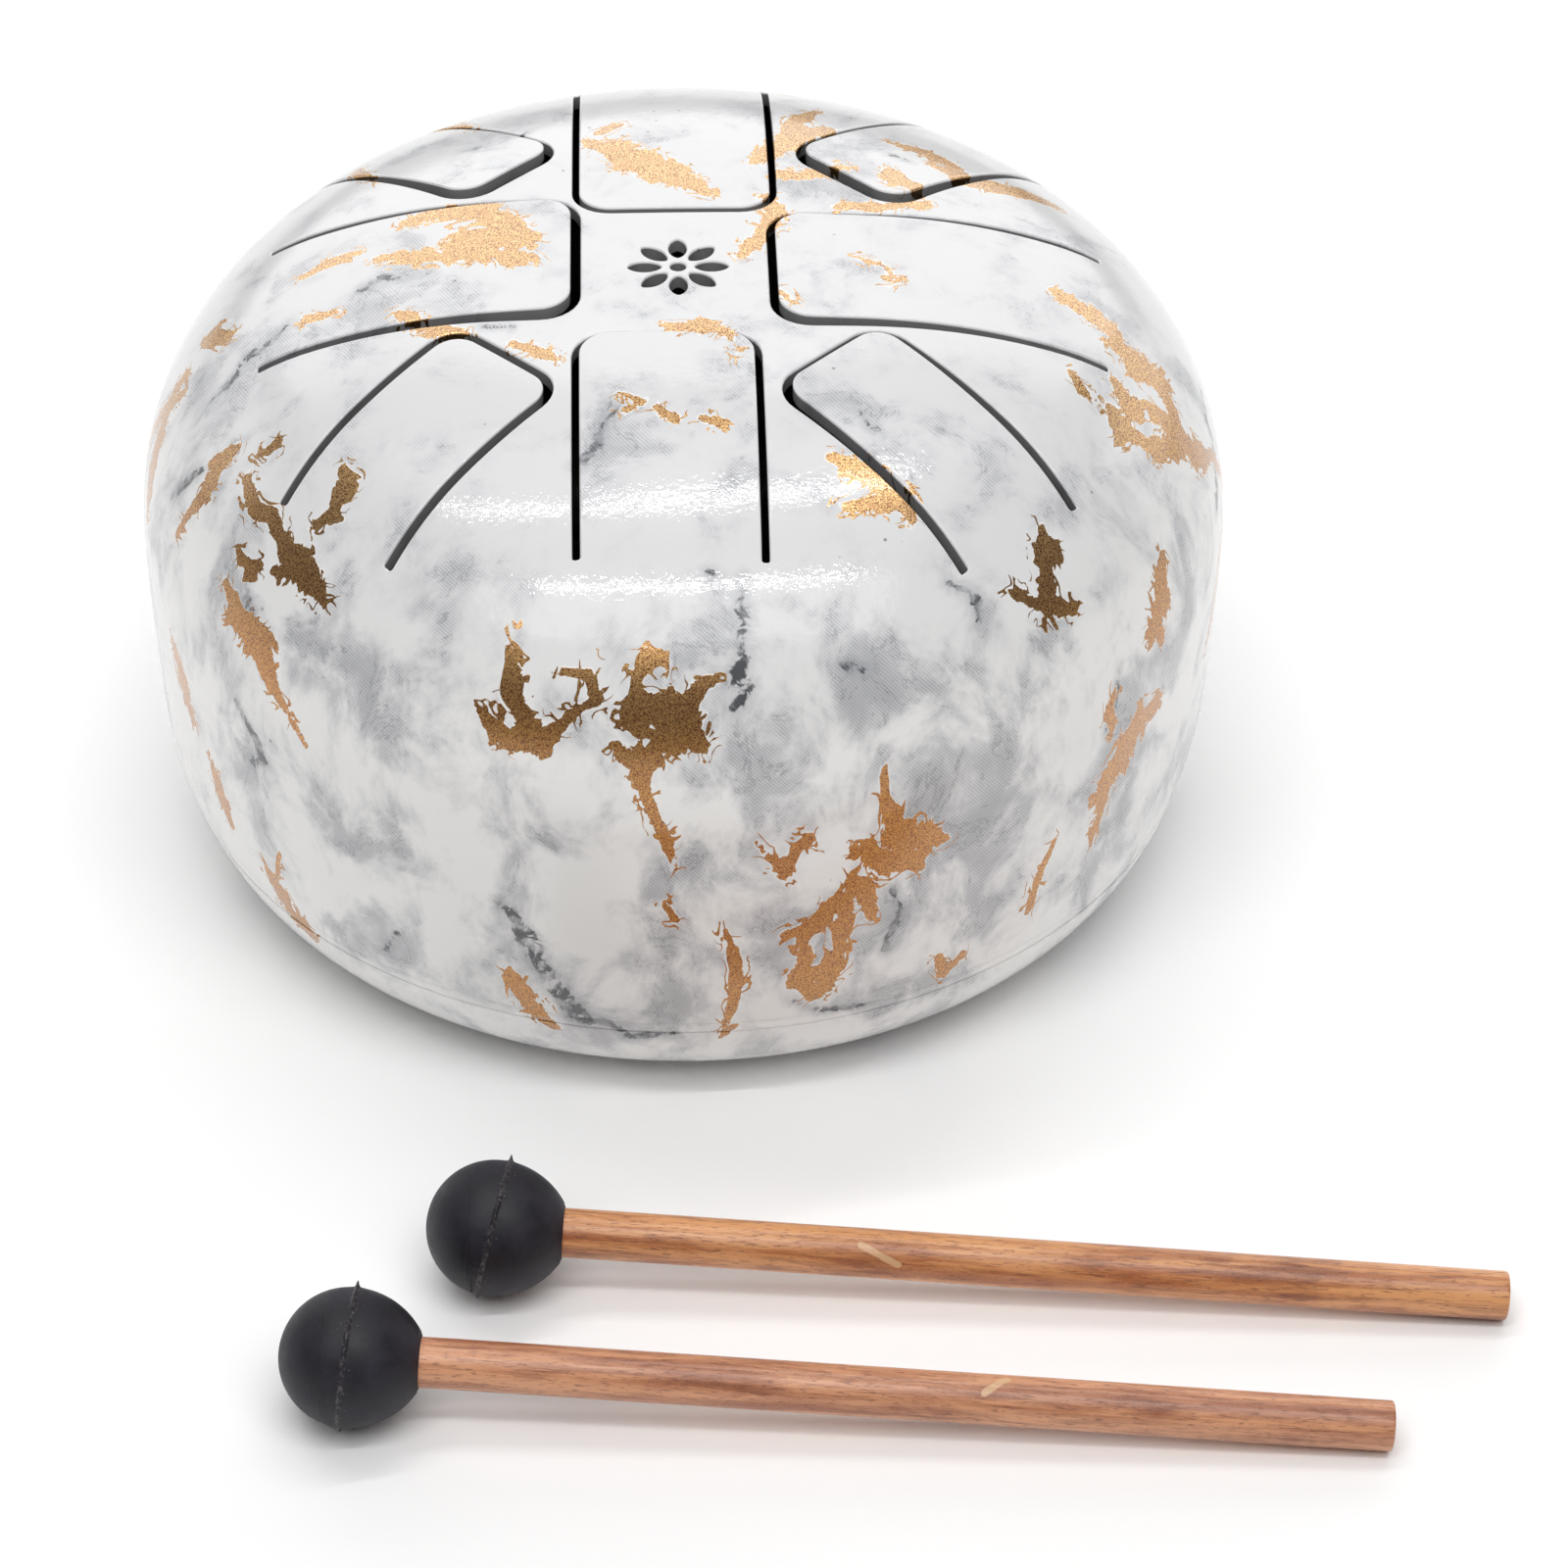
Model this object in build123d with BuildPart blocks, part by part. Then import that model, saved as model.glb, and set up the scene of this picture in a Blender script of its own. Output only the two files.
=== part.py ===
from build123d import *
from collections import namedtuple
from math import asin, cos, degrees, radians, sin, sqrt
import os

# A small steel tongue drum and the two mallets that play it, in millimetres.
# +Z is up, and the origin is on the drum's axis at the level of the surface it stands on.
# The player sits on the -Y side. The mallets lie on the same surface in front of the drum.

# ---- Drum body -------------------------------------------------------------------------
DRUM_RADIUS = 77.5
SHEET = 2.0
FOOT_HEIGHT = 3.0
# Tangent arcs of the skin as (radius, degrees turned), both chains starting at the widest ring.
UPPER_ARCS = [(46.0, 10.0), (36.0, 60.0), (80.0, 18.0)]
LOWER_ARCS = [(436.0, 3.3), (50.0, 16.0), (24.5, 20.0), (8.0, 50.7)]
SEAM_HEIGHT = 16.5
WELD_WIDTH = 2.2
WELD_ROOT = 0.8
SOUND_HOLE_RADIUS = 23.0
FOOT_COUNT = 3
FOOT_RADIUS = 6.0
FOOT_EDGE = 0.8
FOOT_CIRCLE = 48.0
FIRST_FOOT_AZIMUTH = 90.0

# ---- Tongues ---------------------------------------------------------------------------
# Each tongue points at the drum's axis. Its sides and tip are given on the centreline of the
# slot around it: sides as distances left and right of the azimuth line, tip as the distance
# from the axis. The slot's two ends lie root_radius from the axis. tip_raise is how far the
# tuned tongue stands proud of the shell at its tip.
Tongue = namedtuple(
    "Tongue", "azimuth right_side left_side tip root_radius corner slot tip_raise"
)
TONGUES = {
    "right": Tongue(0, 16.2, 11.1, 12.3, 60.3, 5.0, 1.15, 0.9),
    "back_right": Tongue(45, 11.3, 9.2, 31.1, 66.7, 4.5, 1.35, 0.85),
    "back": Tongue(90, 13.0, 15.0, 12.5, 60.3, 5.0, 0.95, 0.15),
    "back_left": Tongue(135, 9.1, 10.0, 33.2, 66.7, 4.5, 1.35, 1.0),
    "left": Tongue(180, 15.4, 14.0, 15.0, 60.3, 5.0, 1.35, 1.1),
    "front_left": Tongue(225, 11.1, 9.6, 33.3, 66.7, 4.5, 1.35, 0.1),
    "front": Tongue(270, 15.0, 9.7, 18.8, 60.6, 5.0, 1.0, 0.9),
    "front_right": Tongue(315, 14.1, 6.6, 30.4, 66.6, 4.5, 1.35, 0.9),
}
ROOT_GAP = 0.1
CUT_FLOOR = 66.0
CUT_HEIGHT = 34.0

# ---- Rosette cut through the centre of the top -----------------------------------------
ROSETTE_CENTRE = (-0.8, -2.3)
PETAL_COUNT = 8
PETAL_START = 2.3
PETAL_END = 7.0
PETAL_WIDTH = 2.5
ROSETTE_EYE_RADIUS = 1.1

# ---- Mallets ---------------------------------------------------------------------------
BALL_RADIUS = 9.0
NECK_RADIUS = 3.7
NECK_DISTANCE = 9.2
FIN_PROUD = 0.4
FIN_WIDTH = 0.5
STICK_RADIUS = 3.3
STICK_IN_HEAD = 10.0
STICK_REACH = 134.4
STICK_EDGE = 0.4
# name: (ball centre X, ball centre Y, heading of the stick from the ball in degrees)
MALLETS = {
    "front_mallet": (-45.5, -129.1, -4.1),
    "rear_mallet": (-27.2, -105.9, -4.2),
}


def chain_rise(arcs):
    """Height covered by a chain of tangent arcs that sets out upright."""
    rise = 0.0
    heading = 0.0
    for radius, turn in arcs:
        rise += radius * (sin(radians(heading + turn)) - sin(radians(heading)))
        heading += turn
    return rise


WIDEST_HEIGHT = FOOT_HEIGHT + chain_rise(LOWER_ARCS)


def drum_outline(inset):
    """Half outline of the drum between its axis and a line inset from its skin."""
    widest = Vector(DRUM_RADIUS - inset, WIDEST_HEIGHT)
    with BuildSketch(Plane.XZ) as outline:
        with BuildLine():
            point = widest
            heading = Vector(0, 1)
            turn_left = 90.0
            for radius, turn in UPPER_ARCS:
                arc = JernArc(point, heading, radius - inset, turn)
                point = arc @ 1
                heading = arc % 1
                turn_left -= turn
            crown_radius = point.X / sin(radians(turn_left))
            crown = JernArc(point, heading, crown_radius, turn_left)
            point = widest
            heading = Vector(0, -1)
            for radius, turn in LOWER_ARCS:
                arc = JernArc(point, heading, radius - inset, -turn)
                point = arc @ 1
                heading = arc % 1
            Polyline(point, (0, point.Y), crown @ 1)
        make_face()
    return outline.sketch


def weld_section():
    """Section of the seam weld, a trapezoid that narrows inwards through the wall."""
    inner = DRUM_RADIUS - 3 * SHEET
    with BuildSketch(Plane.XZ) as section:
        with BuildLine():
            Polyline(
                (inner, SEAM_HEIGHT - WELD_ROOT / 2),
                (DRUM_RADIUS, SEAM_HEIGHT - WELD_WIDTH / 2),
                (DRUM_RADIUS, SEAM_HEIGHT + WELD_WIDTH / 2),
                (inner, SEAM_HEIGHT + WELD_ROOT / 2),
                close=True,
            )
        make_face()
    return section.sketch


def tongue_plane(tongue):
    """Level plane below the top, with X running outwards along the tongue."""
    azimuth = radians(tongue.azimuth)
    outwards = (cos(azimuth), sin(azimuth), 0)
    return Plane(origin=(0, 0, CUT_FLOOR), x_dir=outwards, z_dir=(0, 0, 1))


def root_distance(tongue, side):
    """Distance out along the tongue of its root line, at a place across the tongue."""
    right = -tongue.right_side
    left = tongue.left_side
    right_end = sqrt(tongue.root_radius**2 - right**2)
    left_end = sqrt(tongue.root_radius**2 - left**2)
    return right_end + (left_end - right_end) * (side - right) / (left - right)


def tongue_outline(tongue, grow, gap):
    """Plan of one tongue, grown at its sides and tip, ending short of its root by the gap."""
    right = -tongue.right_side - grow
    left = tongue.left_side + grow
    tip = tongue.tip - grow
    with BuildSketch(tongue_plane(tongue)) as outline:
        with BuildLine():
            Polyline(
                (tip, right),
                (root_distance(tongue, right) - gap, right),
                (root_distance(tongue, left) - gap, left),
                (tip, left),
                close=True,
            )
        make_face()
        fillet(outline.vertices().sort_by(Axis.X)[:2], tongue.corner + grow)
    return outline.sketch


def root_axis(tongue, blade):
    """Line across the middle of the sheet at a tongue's root, about which it flexes."""
    plane = tongue_plane(tongue)
    sides = (-tongue.right_side, tongue.left_side)
    right_end, left_end = (
        plane.from_local_coords((root_distance(tongue, side), side)) for side in sides
    )
    root_face = blade.faces().sort_by(Axis((0, 0, 0), plane.x_dir))[-1]
    return Axis(root_face.center(), left_end - right_end)


def mallet_plane(name):
    """Upright plane through a mallet, with X along its stick and the origin at its ball."""
    x, y, heading = MALLETS[name]
    ball_height = BALL_RADIUS + FIN_PROUD
    tilt = asin((ball_height - STICK_RADIUS) / STICK_REACH)
    across = (-sin(radians(heading)), cos(radians(heading)), 0)
    along = (
        cos(tilt) * cos(radians(heading)),
        cos(tilt) * sin(radians(heading)),
        -sin(tilt),
    )
    return Plane(origin=(x, y, ball_height), x_dir=along, z_dir=across)


def save(part, name):
    """Label a finished piece and write it."""
    part.label = name
    export_step(part, f"parts/{name}.step")


os.makedirs("parts", exist_ok=True)

# ---- Whole hollow shell, from which the steel pieces are cut ---------------------------
with BuildPart() as shell_blank:
    revolve(drum_outline(0), axis=Axis.Z)
    revolve(drum_outline(SHEET), axis=Axis.Z, mode=Mode.SUBTRACT)

# ---- Upper shell: deep bowl with eight tongue windows and a rosette --------------------
with BuildSketch() as petal:
    with BuildLine():
        petal_middle = (PETAL_START + PETAL_END) / 2
        ThreePointArc((PETAL_START, 0), (petal_middle, PETAL_WIDTH / 2), (PETAL_END, 0))
        ThreePointArc((PETAL_END, 0), (petal_middle, -PETAL_WIDTH / 2), (PETAL_START, 0))
    make_face()

with BuildPart() as upper_shell:
    add(shell_blank.part)
    split(bisect_by=Plane.XY.offset(SEAM_HEIGHT), keep=Keep.TOP)
    revolve(weld_section(), axis=Axis.Z, mode=Mode.SUBTRACT)
    for tongue in TONGUES.values():
        window = tongue_outline(tongue, tongue.slot / 2, 0)
        extrude(window, amount=CUT_HEIGHT, mode=Mode.SUBTRACT)
    with BuildSketch(Plane(origin=(*ROSETTE_CENTRE, CUT_FLOOR))):
        with PolarLocations(0, PETAL_COUNT):
            add(petal.sketch)
        Circle(ROSETTE_EYE_RADIUS)
    extrude(amount=CUT_HEIGHT, mode=Mode.SUBTRACT)
save(upper_shell.part, "upper_shell")

# ---- Lower shell: shallow dish with the sound hole -------------------------------------
with BuildPart() as lower_shell:
    add(shell_blank.part)
    split(bisect_by=Plane.XY.offset(SEAM_HEIGHT), keep=Keep.BOTTOM)
    revolve(weld_section(), axis=Axis.Z, mode=Mode.SUBTRACT)
    with BuildSketch(Plane.XY):
        Circle(SOUND_HOLE_RADIUS)
    extrude(amount=SEAM_HEIGHT / 2, mode=Mode.SUBTRACT)
save(lower_shell.part, "lower_shell")

# ---- Weld that joins the two shells ----------------------------------------------------
with BuildPart() as seam_weld:
    add(shell_blank.part)
    revolve(weld_section(), axis=Axis.Z, mode=Mode.INTERSECT)
save(seam_weld.part, "seam_weld")

# ---- Tongues, each turned up about its root to its tuned height ------------------------
for name, tongue in TONGUES.items():
    with BuildPart() as blade:
        add(shell_blank.part)
        outline = tongue_outline(tongue, -tongue.slot / 2, ROOT_GAP)
        extrude(outline, amount=CUT_HEIGHT, mode=Mode.INTERSECT)
    hinge = root_axis(tongue, blade)
    length = root_distance(tongue, 0) - tongue.tip
    raised = blade.part.rotate(hinge, degrees(asin(tongue.tip_raise / length)))
    save(raised, f"tongue_{name}")
    print("hinge", name, *(round(v, 4) for v in (*hinge.position, *hinge.direction)))

# ---- Rubber feet under the lower shell -------------------------------------------------
for index in range(FOOT_COUNT):
    azimuth = radians(FIRST_FOOT_AZIMUTH + index * 360 / FOOT_COUNT)
    centre = (FOOT_CIRCLE * cos(azimuth), FOOT_CIRCLE * sin(azimuth), 0)
    with BuildPart() as foot:
        with BuildSketch(Plane(origin=centre)):
            Circle(FOOT_RADIUS)
        extrude(amount=FOOT_HEIGHT)
        fillet(foot.edges().sort_by(Axis.Z)[0], FOOT_EDGE)
    save(foot.part, f"foot_{index + 1}")

# ---- Mallets: wooden stick pressed into a moulded rubber head --------------------------
for name in MALLETS:
    plane = mallet_plane(name)
    mallet_axis = Axis(plane.origin, plane.x_dir)
    stick_start = NECK_DISTANCE - STICK_IN_HEAD

    with BuildPart() as stick:
        with BuildSketch(plane) as stick_half:
            with BuildLine():
                Polyline(
                    (stick_start, 0),
                    (STICK_REACH, 0),
                    (STICK_REACH, STICK_RADIUS),
                    (stick_start, STICK_RADIUS),
                    close=True,
                )
            make_face()
            butt_corner = stick_half.vertices().sort_by(Axis.X)[-2:].sort_by(Axis.Y)[-1]
            fillet(butt_corner, STICK_EDGE)
        revolve(axis=mallet_axis)
    save(stick.part, f"{name}_stick")

    back_drop = BALL_RADIUS - NECK_RADIUS
    back_radius = (NECK_DISTANCE**2 + back_drop**2) / (2 * back_drop)
    back_turn = degrees(asin(NECK_DISTANCE / back_radius))
    with BuildPart() as head:
        with BuildSketch(plane) as head_half:
            with BuildLine():
                front = JernArc((-BALL_RADIUS, 0), (0, 1), BALL_RADIUS, -90)
                back = JernArc(front @ 1, (1, 0), back_radius, -back_turn)
                Polyline(
                    back @ 1,
                    (NECK_DISTANCE, STICK_RADIUS),
                    (stick_start, STICK_RADIUS),
                    (stick_start, 0),
                    front @ 0,
                )
            make_face()
            with Locations((0, BALL_RADIUS)):
                Rectangle(FIN_WIDTH, 2 * FIN_PROUD)
        revolve(axis=mallet_axis)
    save(head.part, f"{name}_head")
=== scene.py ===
import random
from collections import namedtuple
from math import asin, cos, pi, radians, sin, sqrt, tan

import bmesh
import bpy
import numpy as np
from mathutils import Matrix, Vector
from mathutils.geometry import delaunay_2d_cdt


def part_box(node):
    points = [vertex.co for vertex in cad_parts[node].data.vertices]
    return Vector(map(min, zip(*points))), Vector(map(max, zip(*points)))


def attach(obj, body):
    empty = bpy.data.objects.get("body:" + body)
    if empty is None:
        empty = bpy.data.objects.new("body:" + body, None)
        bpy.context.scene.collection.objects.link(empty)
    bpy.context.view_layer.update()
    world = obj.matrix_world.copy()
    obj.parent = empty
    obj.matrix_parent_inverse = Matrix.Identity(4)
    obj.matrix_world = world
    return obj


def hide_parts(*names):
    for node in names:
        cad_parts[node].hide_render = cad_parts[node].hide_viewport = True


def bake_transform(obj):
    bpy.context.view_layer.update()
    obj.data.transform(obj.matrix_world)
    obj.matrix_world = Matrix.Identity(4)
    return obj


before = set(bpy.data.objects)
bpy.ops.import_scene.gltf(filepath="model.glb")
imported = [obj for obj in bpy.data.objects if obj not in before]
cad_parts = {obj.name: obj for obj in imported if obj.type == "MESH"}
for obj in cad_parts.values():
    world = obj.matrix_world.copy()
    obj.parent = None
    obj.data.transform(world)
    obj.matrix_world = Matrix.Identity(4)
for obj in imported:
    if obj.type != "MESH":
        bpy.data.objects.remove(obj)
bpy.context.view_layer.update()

scene = bpy.context.scene
MM = 0.001

# ---- Sizes, in millimetres -------------------------------------------------------------
DRUM_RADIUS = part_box("upper_shell")[1].x / MM
FOOT_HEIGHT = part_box("foot_1")[1].z / MM
SHEET = 2.0
UPPER_ARCS = ((46.0, 10.0), (36.0, 60.0), (80.0, 18.0))
LOWER_ARCS = ((436.0, 3.3), (50.0, 16.0), (24.5, 20.0), (8.0, 50.7))
SEAM_HEIGHT = 16.5
WELD_WIDTH = 2.2
SOUND_HOLE_RADIUS = 23.0
# Sides and tip lie on the middle of the slot around a tongue, as distances from its azimuth
# line and from the axis. The slot's ends are root_radius from the axis.
Tongue = namedtuple("Tongue", "azimuth right left tip root_radius corner slot tip_raise")
TONGUES = {
    "right": Tongue(0, 16.2, 11.1, 12.3, 60.3, 5.0, 1.15, 0.9),
    "back_right": Tongue(45, 11.3, 9.2, 31.1, 66.7, 4.5, 1.35, 0.85),
    "back": Tongue(90, 13.0, 15.0, 12.5, 60.3, 5.0, 0.95, 0.15),
    "back_left": Tongue(135, 9.1, 10.0, 33.2, 66.7, 4.5, 1.35, 1.0),
    "left": Tongue(180, 15.4, 14.0, 15.0, 60.3, 5.0, 1.35, 1.1),
    "front_left": Tongue(225, 11.1, 9.6, 33.3, 66.7, 4.5, 1.35, 0.1),
    "front": Tongue(270, 15.0, 9.7, 18.8, 60.6, 5.0, 1.0, 0.9),
    "front_right": Tongue(315, 14.1, 6.6, 30.4, 66.6, 4.5, 1.35, 0.9),
}
ROSETTE_CENTRE = (-0.8, -2.3)
PETAL_COUNT = 8
PETAL_START = 2.3
PETAL_END = 7.0
PETAL_WIDTH = 2.5
ROSETTE_EYE_RADIUS = 1.1

TURN_STEPS = 600
EDGE = 0.32
EDGE_STEPS = 3
TOP_RADIUS = 70.0
GRID_STEP = 1.0
SIDE_STEP = 0.9
INNER_STEP = 4.0
SPLIT_BEFORE_ROOT = 1.6
# Radius of the rounded corners at the square ends of each slot.
SLOT_END_CORNER = 0.3
SEAM_EDGE = 0.2


# ---- The drum's profile ----------------------------------------------------------------
def arc_chain(arcs, way):
    """Tangent arcs from the widest ring, up (way 1) or down (way -1), each as its centre's
    distance from the axis, centre's height, radius and the two normal elevations it spans."""
    chain = []
    centre_r = DRUM_RADIUS - arcs[0][0]
    centre_z = WIDEST_HEIGHT
    elevation = 0.0
    for index, (radius, turn) in enumerate(arcs):
        end = elevation + radians(turn)
        chain.append((centre_r, centre_z, radius, way * elevation, way * end))
        if index + 1 < len(arcs):
            change = radius - arcs[index + 1][0]
            centre_r += change * cos(end)
            centre_z += way * change * sin(end)
            elevation = end
    return chain


def chain_rise(arcs):
    """Height covered by a chain of tangent arcs that sets out upright."""
    rise = 0.0
    heading = 0.0
    for radius, turn in arcs:
        rise += radius * (sin(radians(heading + turn)) - sin(radians(heading)))
        heading += turn
    return rise


WIDEST_HEIGHT = FOOT_HEIGHT + chain_rise(LOWER_ARCS)


def upper_chain():
    """The upper arcs, closed on the axis by the crown."""
    chain = arc_chain(UPPER_ARCS, 1)
    centre_r, centre_z, radius, _, end = chain[-1]
    crown_radius = (centre_r + radius * cos(end)) / cos(end)
    crown_z = centre_z + radius * sin(end) - crown_radius * sin(end)
    return chain + [(0.0, crown_z, crown_radius, end, pi / 2)]


UPPER = upper_chain()
LOWER = arc_chain(LOWER_ARCS, -1)


def top_height(r, inset=0.0):
    """Heights of the top surface, and elevations of its normal, at distances from the axis."""
    r = np.asarray(r, float)
    height = np.zeros_like(r)
    elevation = np.zeros_like(r)
    for centre_r, centre_z, radius, start, end in UPPER:
        size = radius - inset
        low = centre_r + size * cos(end)
        high = centre_r + size * cos(start)
        here = (r >= low - 1e-6) & (r <= high + 1e-6)
        angle = np.arccos(np.clip((r[here] - centre_r) / size, -1, 1))
        height[here] = centre_z + size * np.sin(angle)
        elevation[here] = angle
    return height, elevation


def profile_points(chain, inset, start, end, step):
    """Points (distance from axis, height, normal elevation) along a chain, downwards, between
    two normal elevations."""
    points = []
    for centre_r, centre_z, radius, a, b in sorted(chain, key=lambda arc: -max(arc[3:])):
        high = min(max(a, b), start)
        low = max(min(a, b), end)
        if high <= low:
            continue
        size = radius - inset
        count = max(2, int(np.ceil(size * (high - low) / step)) + 1)
        for angle in np.linspace(high, low, count):
            point = (centre_r + size * cos(angle), centre_z + size * sin(angle), angle)
            if not points or abs(points[-1][1] - point[1]) + abs(points[-1][0] - point[0]) > 1e-4:
                points.append(point)
    return points


# ---- Plan of the sheet: loops around the slots and the rosette --------------------------
def arc_points(centre, radius, start, end, count):
    """Points on an arc in plan, both ends included."""
    angles = np.linspace(start, end, count)
    return [(centre[0] + radius * cos(a), centre[1] + radius * sin(a)) for a in angles]


def line_points(start, end, count):
    """Points strictly between two places in plan."""
    return [
        (start[0] + (end[0] - start[0]) * k / count, start[1] + (end[1] - start[1]) * k / count)
        for k in range(1, count)
    ]


def root_distance(spec, side):
    """Distance out along a tongue of its root line, at a place across the tongue."""
    right_end = sqrt(spec.root_radius**2 - spec.right**2)
    left_end = sqrt(spec.root_radius**2 - spec.left**2)
    return right_end + (left_end - right_end) * (side + spec.right) / (spec.left + spec.right)


def split_distance(spec):
    """Distance out along a tongue at which its own mesh begins."""
    nearest = min(root_distance(spec, -spec.right), root_distance(spec, spec.left))
    return nearest - SPLIT_BEFORE_ROOT


def slot_loop(spec, grow):
    """Closed outline of the U-shaped slot around one tongue, grown into the metal, in the
    tongue's own plan: first number outwards along it, second across it."""
    _, right, left, tip, _, corner, slot, _ = spec
    half = slot / 2
    right_root = root_distance(spec, -right) - SLOT_END_CORNER
    left_root = root_distance(spec, left) - SLOT_END_CORNER
    split = split_distance(spec)
    wide = half + grow
    corners = ((tip + corner, corner - right), (tip + corner, left - corner))
    near_root, far = 3, 18

    def side(v, start, end):
        """One straight side in two runs that meet where the tongue's mesh begins."""
        first = near_root if abs(start - split) < abs(end - split) else far
        second = near_root + far - first
        points = [(start, v)] + line_points((start, v), (split, v), first)
        return points + [(split, v)] + line_points((split, v), (end, v), second)

    def cap(root, v, sign):
        """Rounded corner of a slot's square end."""
        centre = (root, v - sign * SLOT_END_CORNER)
        start, end = (pi / 2, 0) if sign > 0 else (0, -pi / 2)
        return arc_points(centre, SLOT_END_CORNER + grow, start, end, 4)

    outer, inner = corner + wide, corner - wide
    loop = side(-right - wide, right_root, tip + corner)
    loop += arc_points(corners[0], outer, 1.5 * pi, pi, 9)
    loop += line_points((tip - wide, corner - right), (tip - wide, left - corner), 12)
    loop += arc_points(corners[1], outer, pi, pi / 2, 9)[:-1]
    loop += side(left + wide, tip + corner, left_root)
    loop += cap(left_root, left + half, 1) + cap(left_root, left - half, -1)[:-1]
    loop += side(left - wide, left_root, tip + corner)
    loop += arc_points(corners[1], inner, pi / 2, pi, 9)
    loop += line_points((tip + wide, left - corner), (tip + wide, corner - right), 12)
    loop += arc_points(corners[0], inner, pi, 1.5 * pi, 9)[:-1]
    loop += side(wide - right, tip + corner, right_root)
    loop += cap(right_root, half - right, 1) + cap(right_root, -half - right, -1)[:-1]
    return np.array(loop)


def petal_loop(index, grow):
    """Closed outline of one petal of the rosette, grown into the metal."""
    middle = (PETAL_START + PETAL_END) / 2
    length = (PETAL_END - PETAL_START) / 2 + grow
    width = PETAL_WIDTH / 2 + grow
    angles = np.linspace(2 * pi, 0, 33)[:-1]
    across = width * np.sin(angles) * np.abs(np.sin(angles)) ** 0.3
    turn = 2 * pi * index / PETAL_COUNT
    spin = np.array([[cos(turn), sin(turn)], [-sin(turn), cos(turn)]])
    return np.stack([middle + length * np.cos(angles), across], 1) @ spin + ROSETTE_CENTRE


def eye_loop(grow):
    """Closed outline of the rosette's round eye, grown into the metal."""
    loop = arc_points(ROSETTE_CENTRE, ROSETTE_EYE_RADIUS + grow, 2 * pi, 0, 25)[:-1]
    return np.array(loop)


def tongue_spin(spec):
    """Matrix that takes a tongue's own plan coordinates, as rows, to the drum's."""
    azimuth = radians(spec.azimuth)
    return np.array([[cos(azimuth), sin(azimuth)], [-sin(azimuth), cos(azimuth)]])


def on_tongue(spec, plan):
    """Which plan points lie on a tongue's own mesh, up to the middle of the slot around it."""
    _, right, left, tip, _, corner, _, _ = spec
    u, v = (plan @ tongue_spin(spec).T).T
    inside = (u > tip) & (u < split_distance(spec) - 1e-4) & (v > -right) & (v < left)
    for centre_v, beyond in ((corner - right, v < corner - right), (left - corner, v > left - corner)):
        rounded = beyond & (u < tip + corner)
        inside &= ~(rounded & (np.hypot(u - tip - corner, v - centre_v) > corner))
    return inside


def owners(plan):
    """For each plan point the index of the tongue it lies on, or -1 on the shell."""
    owner = np.full(len(plan), -1)
    for index, spec in enumerate(TONGUES.values()):
        owner[on_tongue(spec, plan)] = index
    return owner


def raise_of(plan, owner):
    """How far the tuned tongues stand up, bent like a cantilever from their roots."""
    lift = np.zeros(len(plan))
    for index, spec in enumerate(TONGUES.values()):
        here = owner == index
        u = (plan[here] @ tongue_spin(spec).T)[:, 0]
        split = split_distance(spec)
        t = np.clip((split - u) / (split - spec.tip), 0, None)
        lift[here] = spec.tip_raise * (3 * t**2 - t**3) / 2
    return lift


def sheet_height(plan, owner, inset=0.0):
    """Heights of the sheet's outer or inner side at plan points, raised tongues included."""
    return top_height(np.hypot(*plan.T), inset)[0] + raise_of(plan, owner)


def sheet_normals(plan, owner, inset=0.0):
    """Unit normals of the sheet's outer or inner side, pointing up."""
    step = 0.02
    rise = []
    for axis in (0, 1):
        shift = np.zeros(2)
        shift[axis] = step
        high = sheet_height(plan + shift, owner, inset)
        low = sheet_height(plan - shift, owner, inset)
        rise.append((high - low) / (2 * step))
    normals = np.stack([-rise[0], -rise[1], np.ones(len(plan))], 1)
    return normals / np.linalg.norm(normals, axis=1)[:, None]


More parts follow.
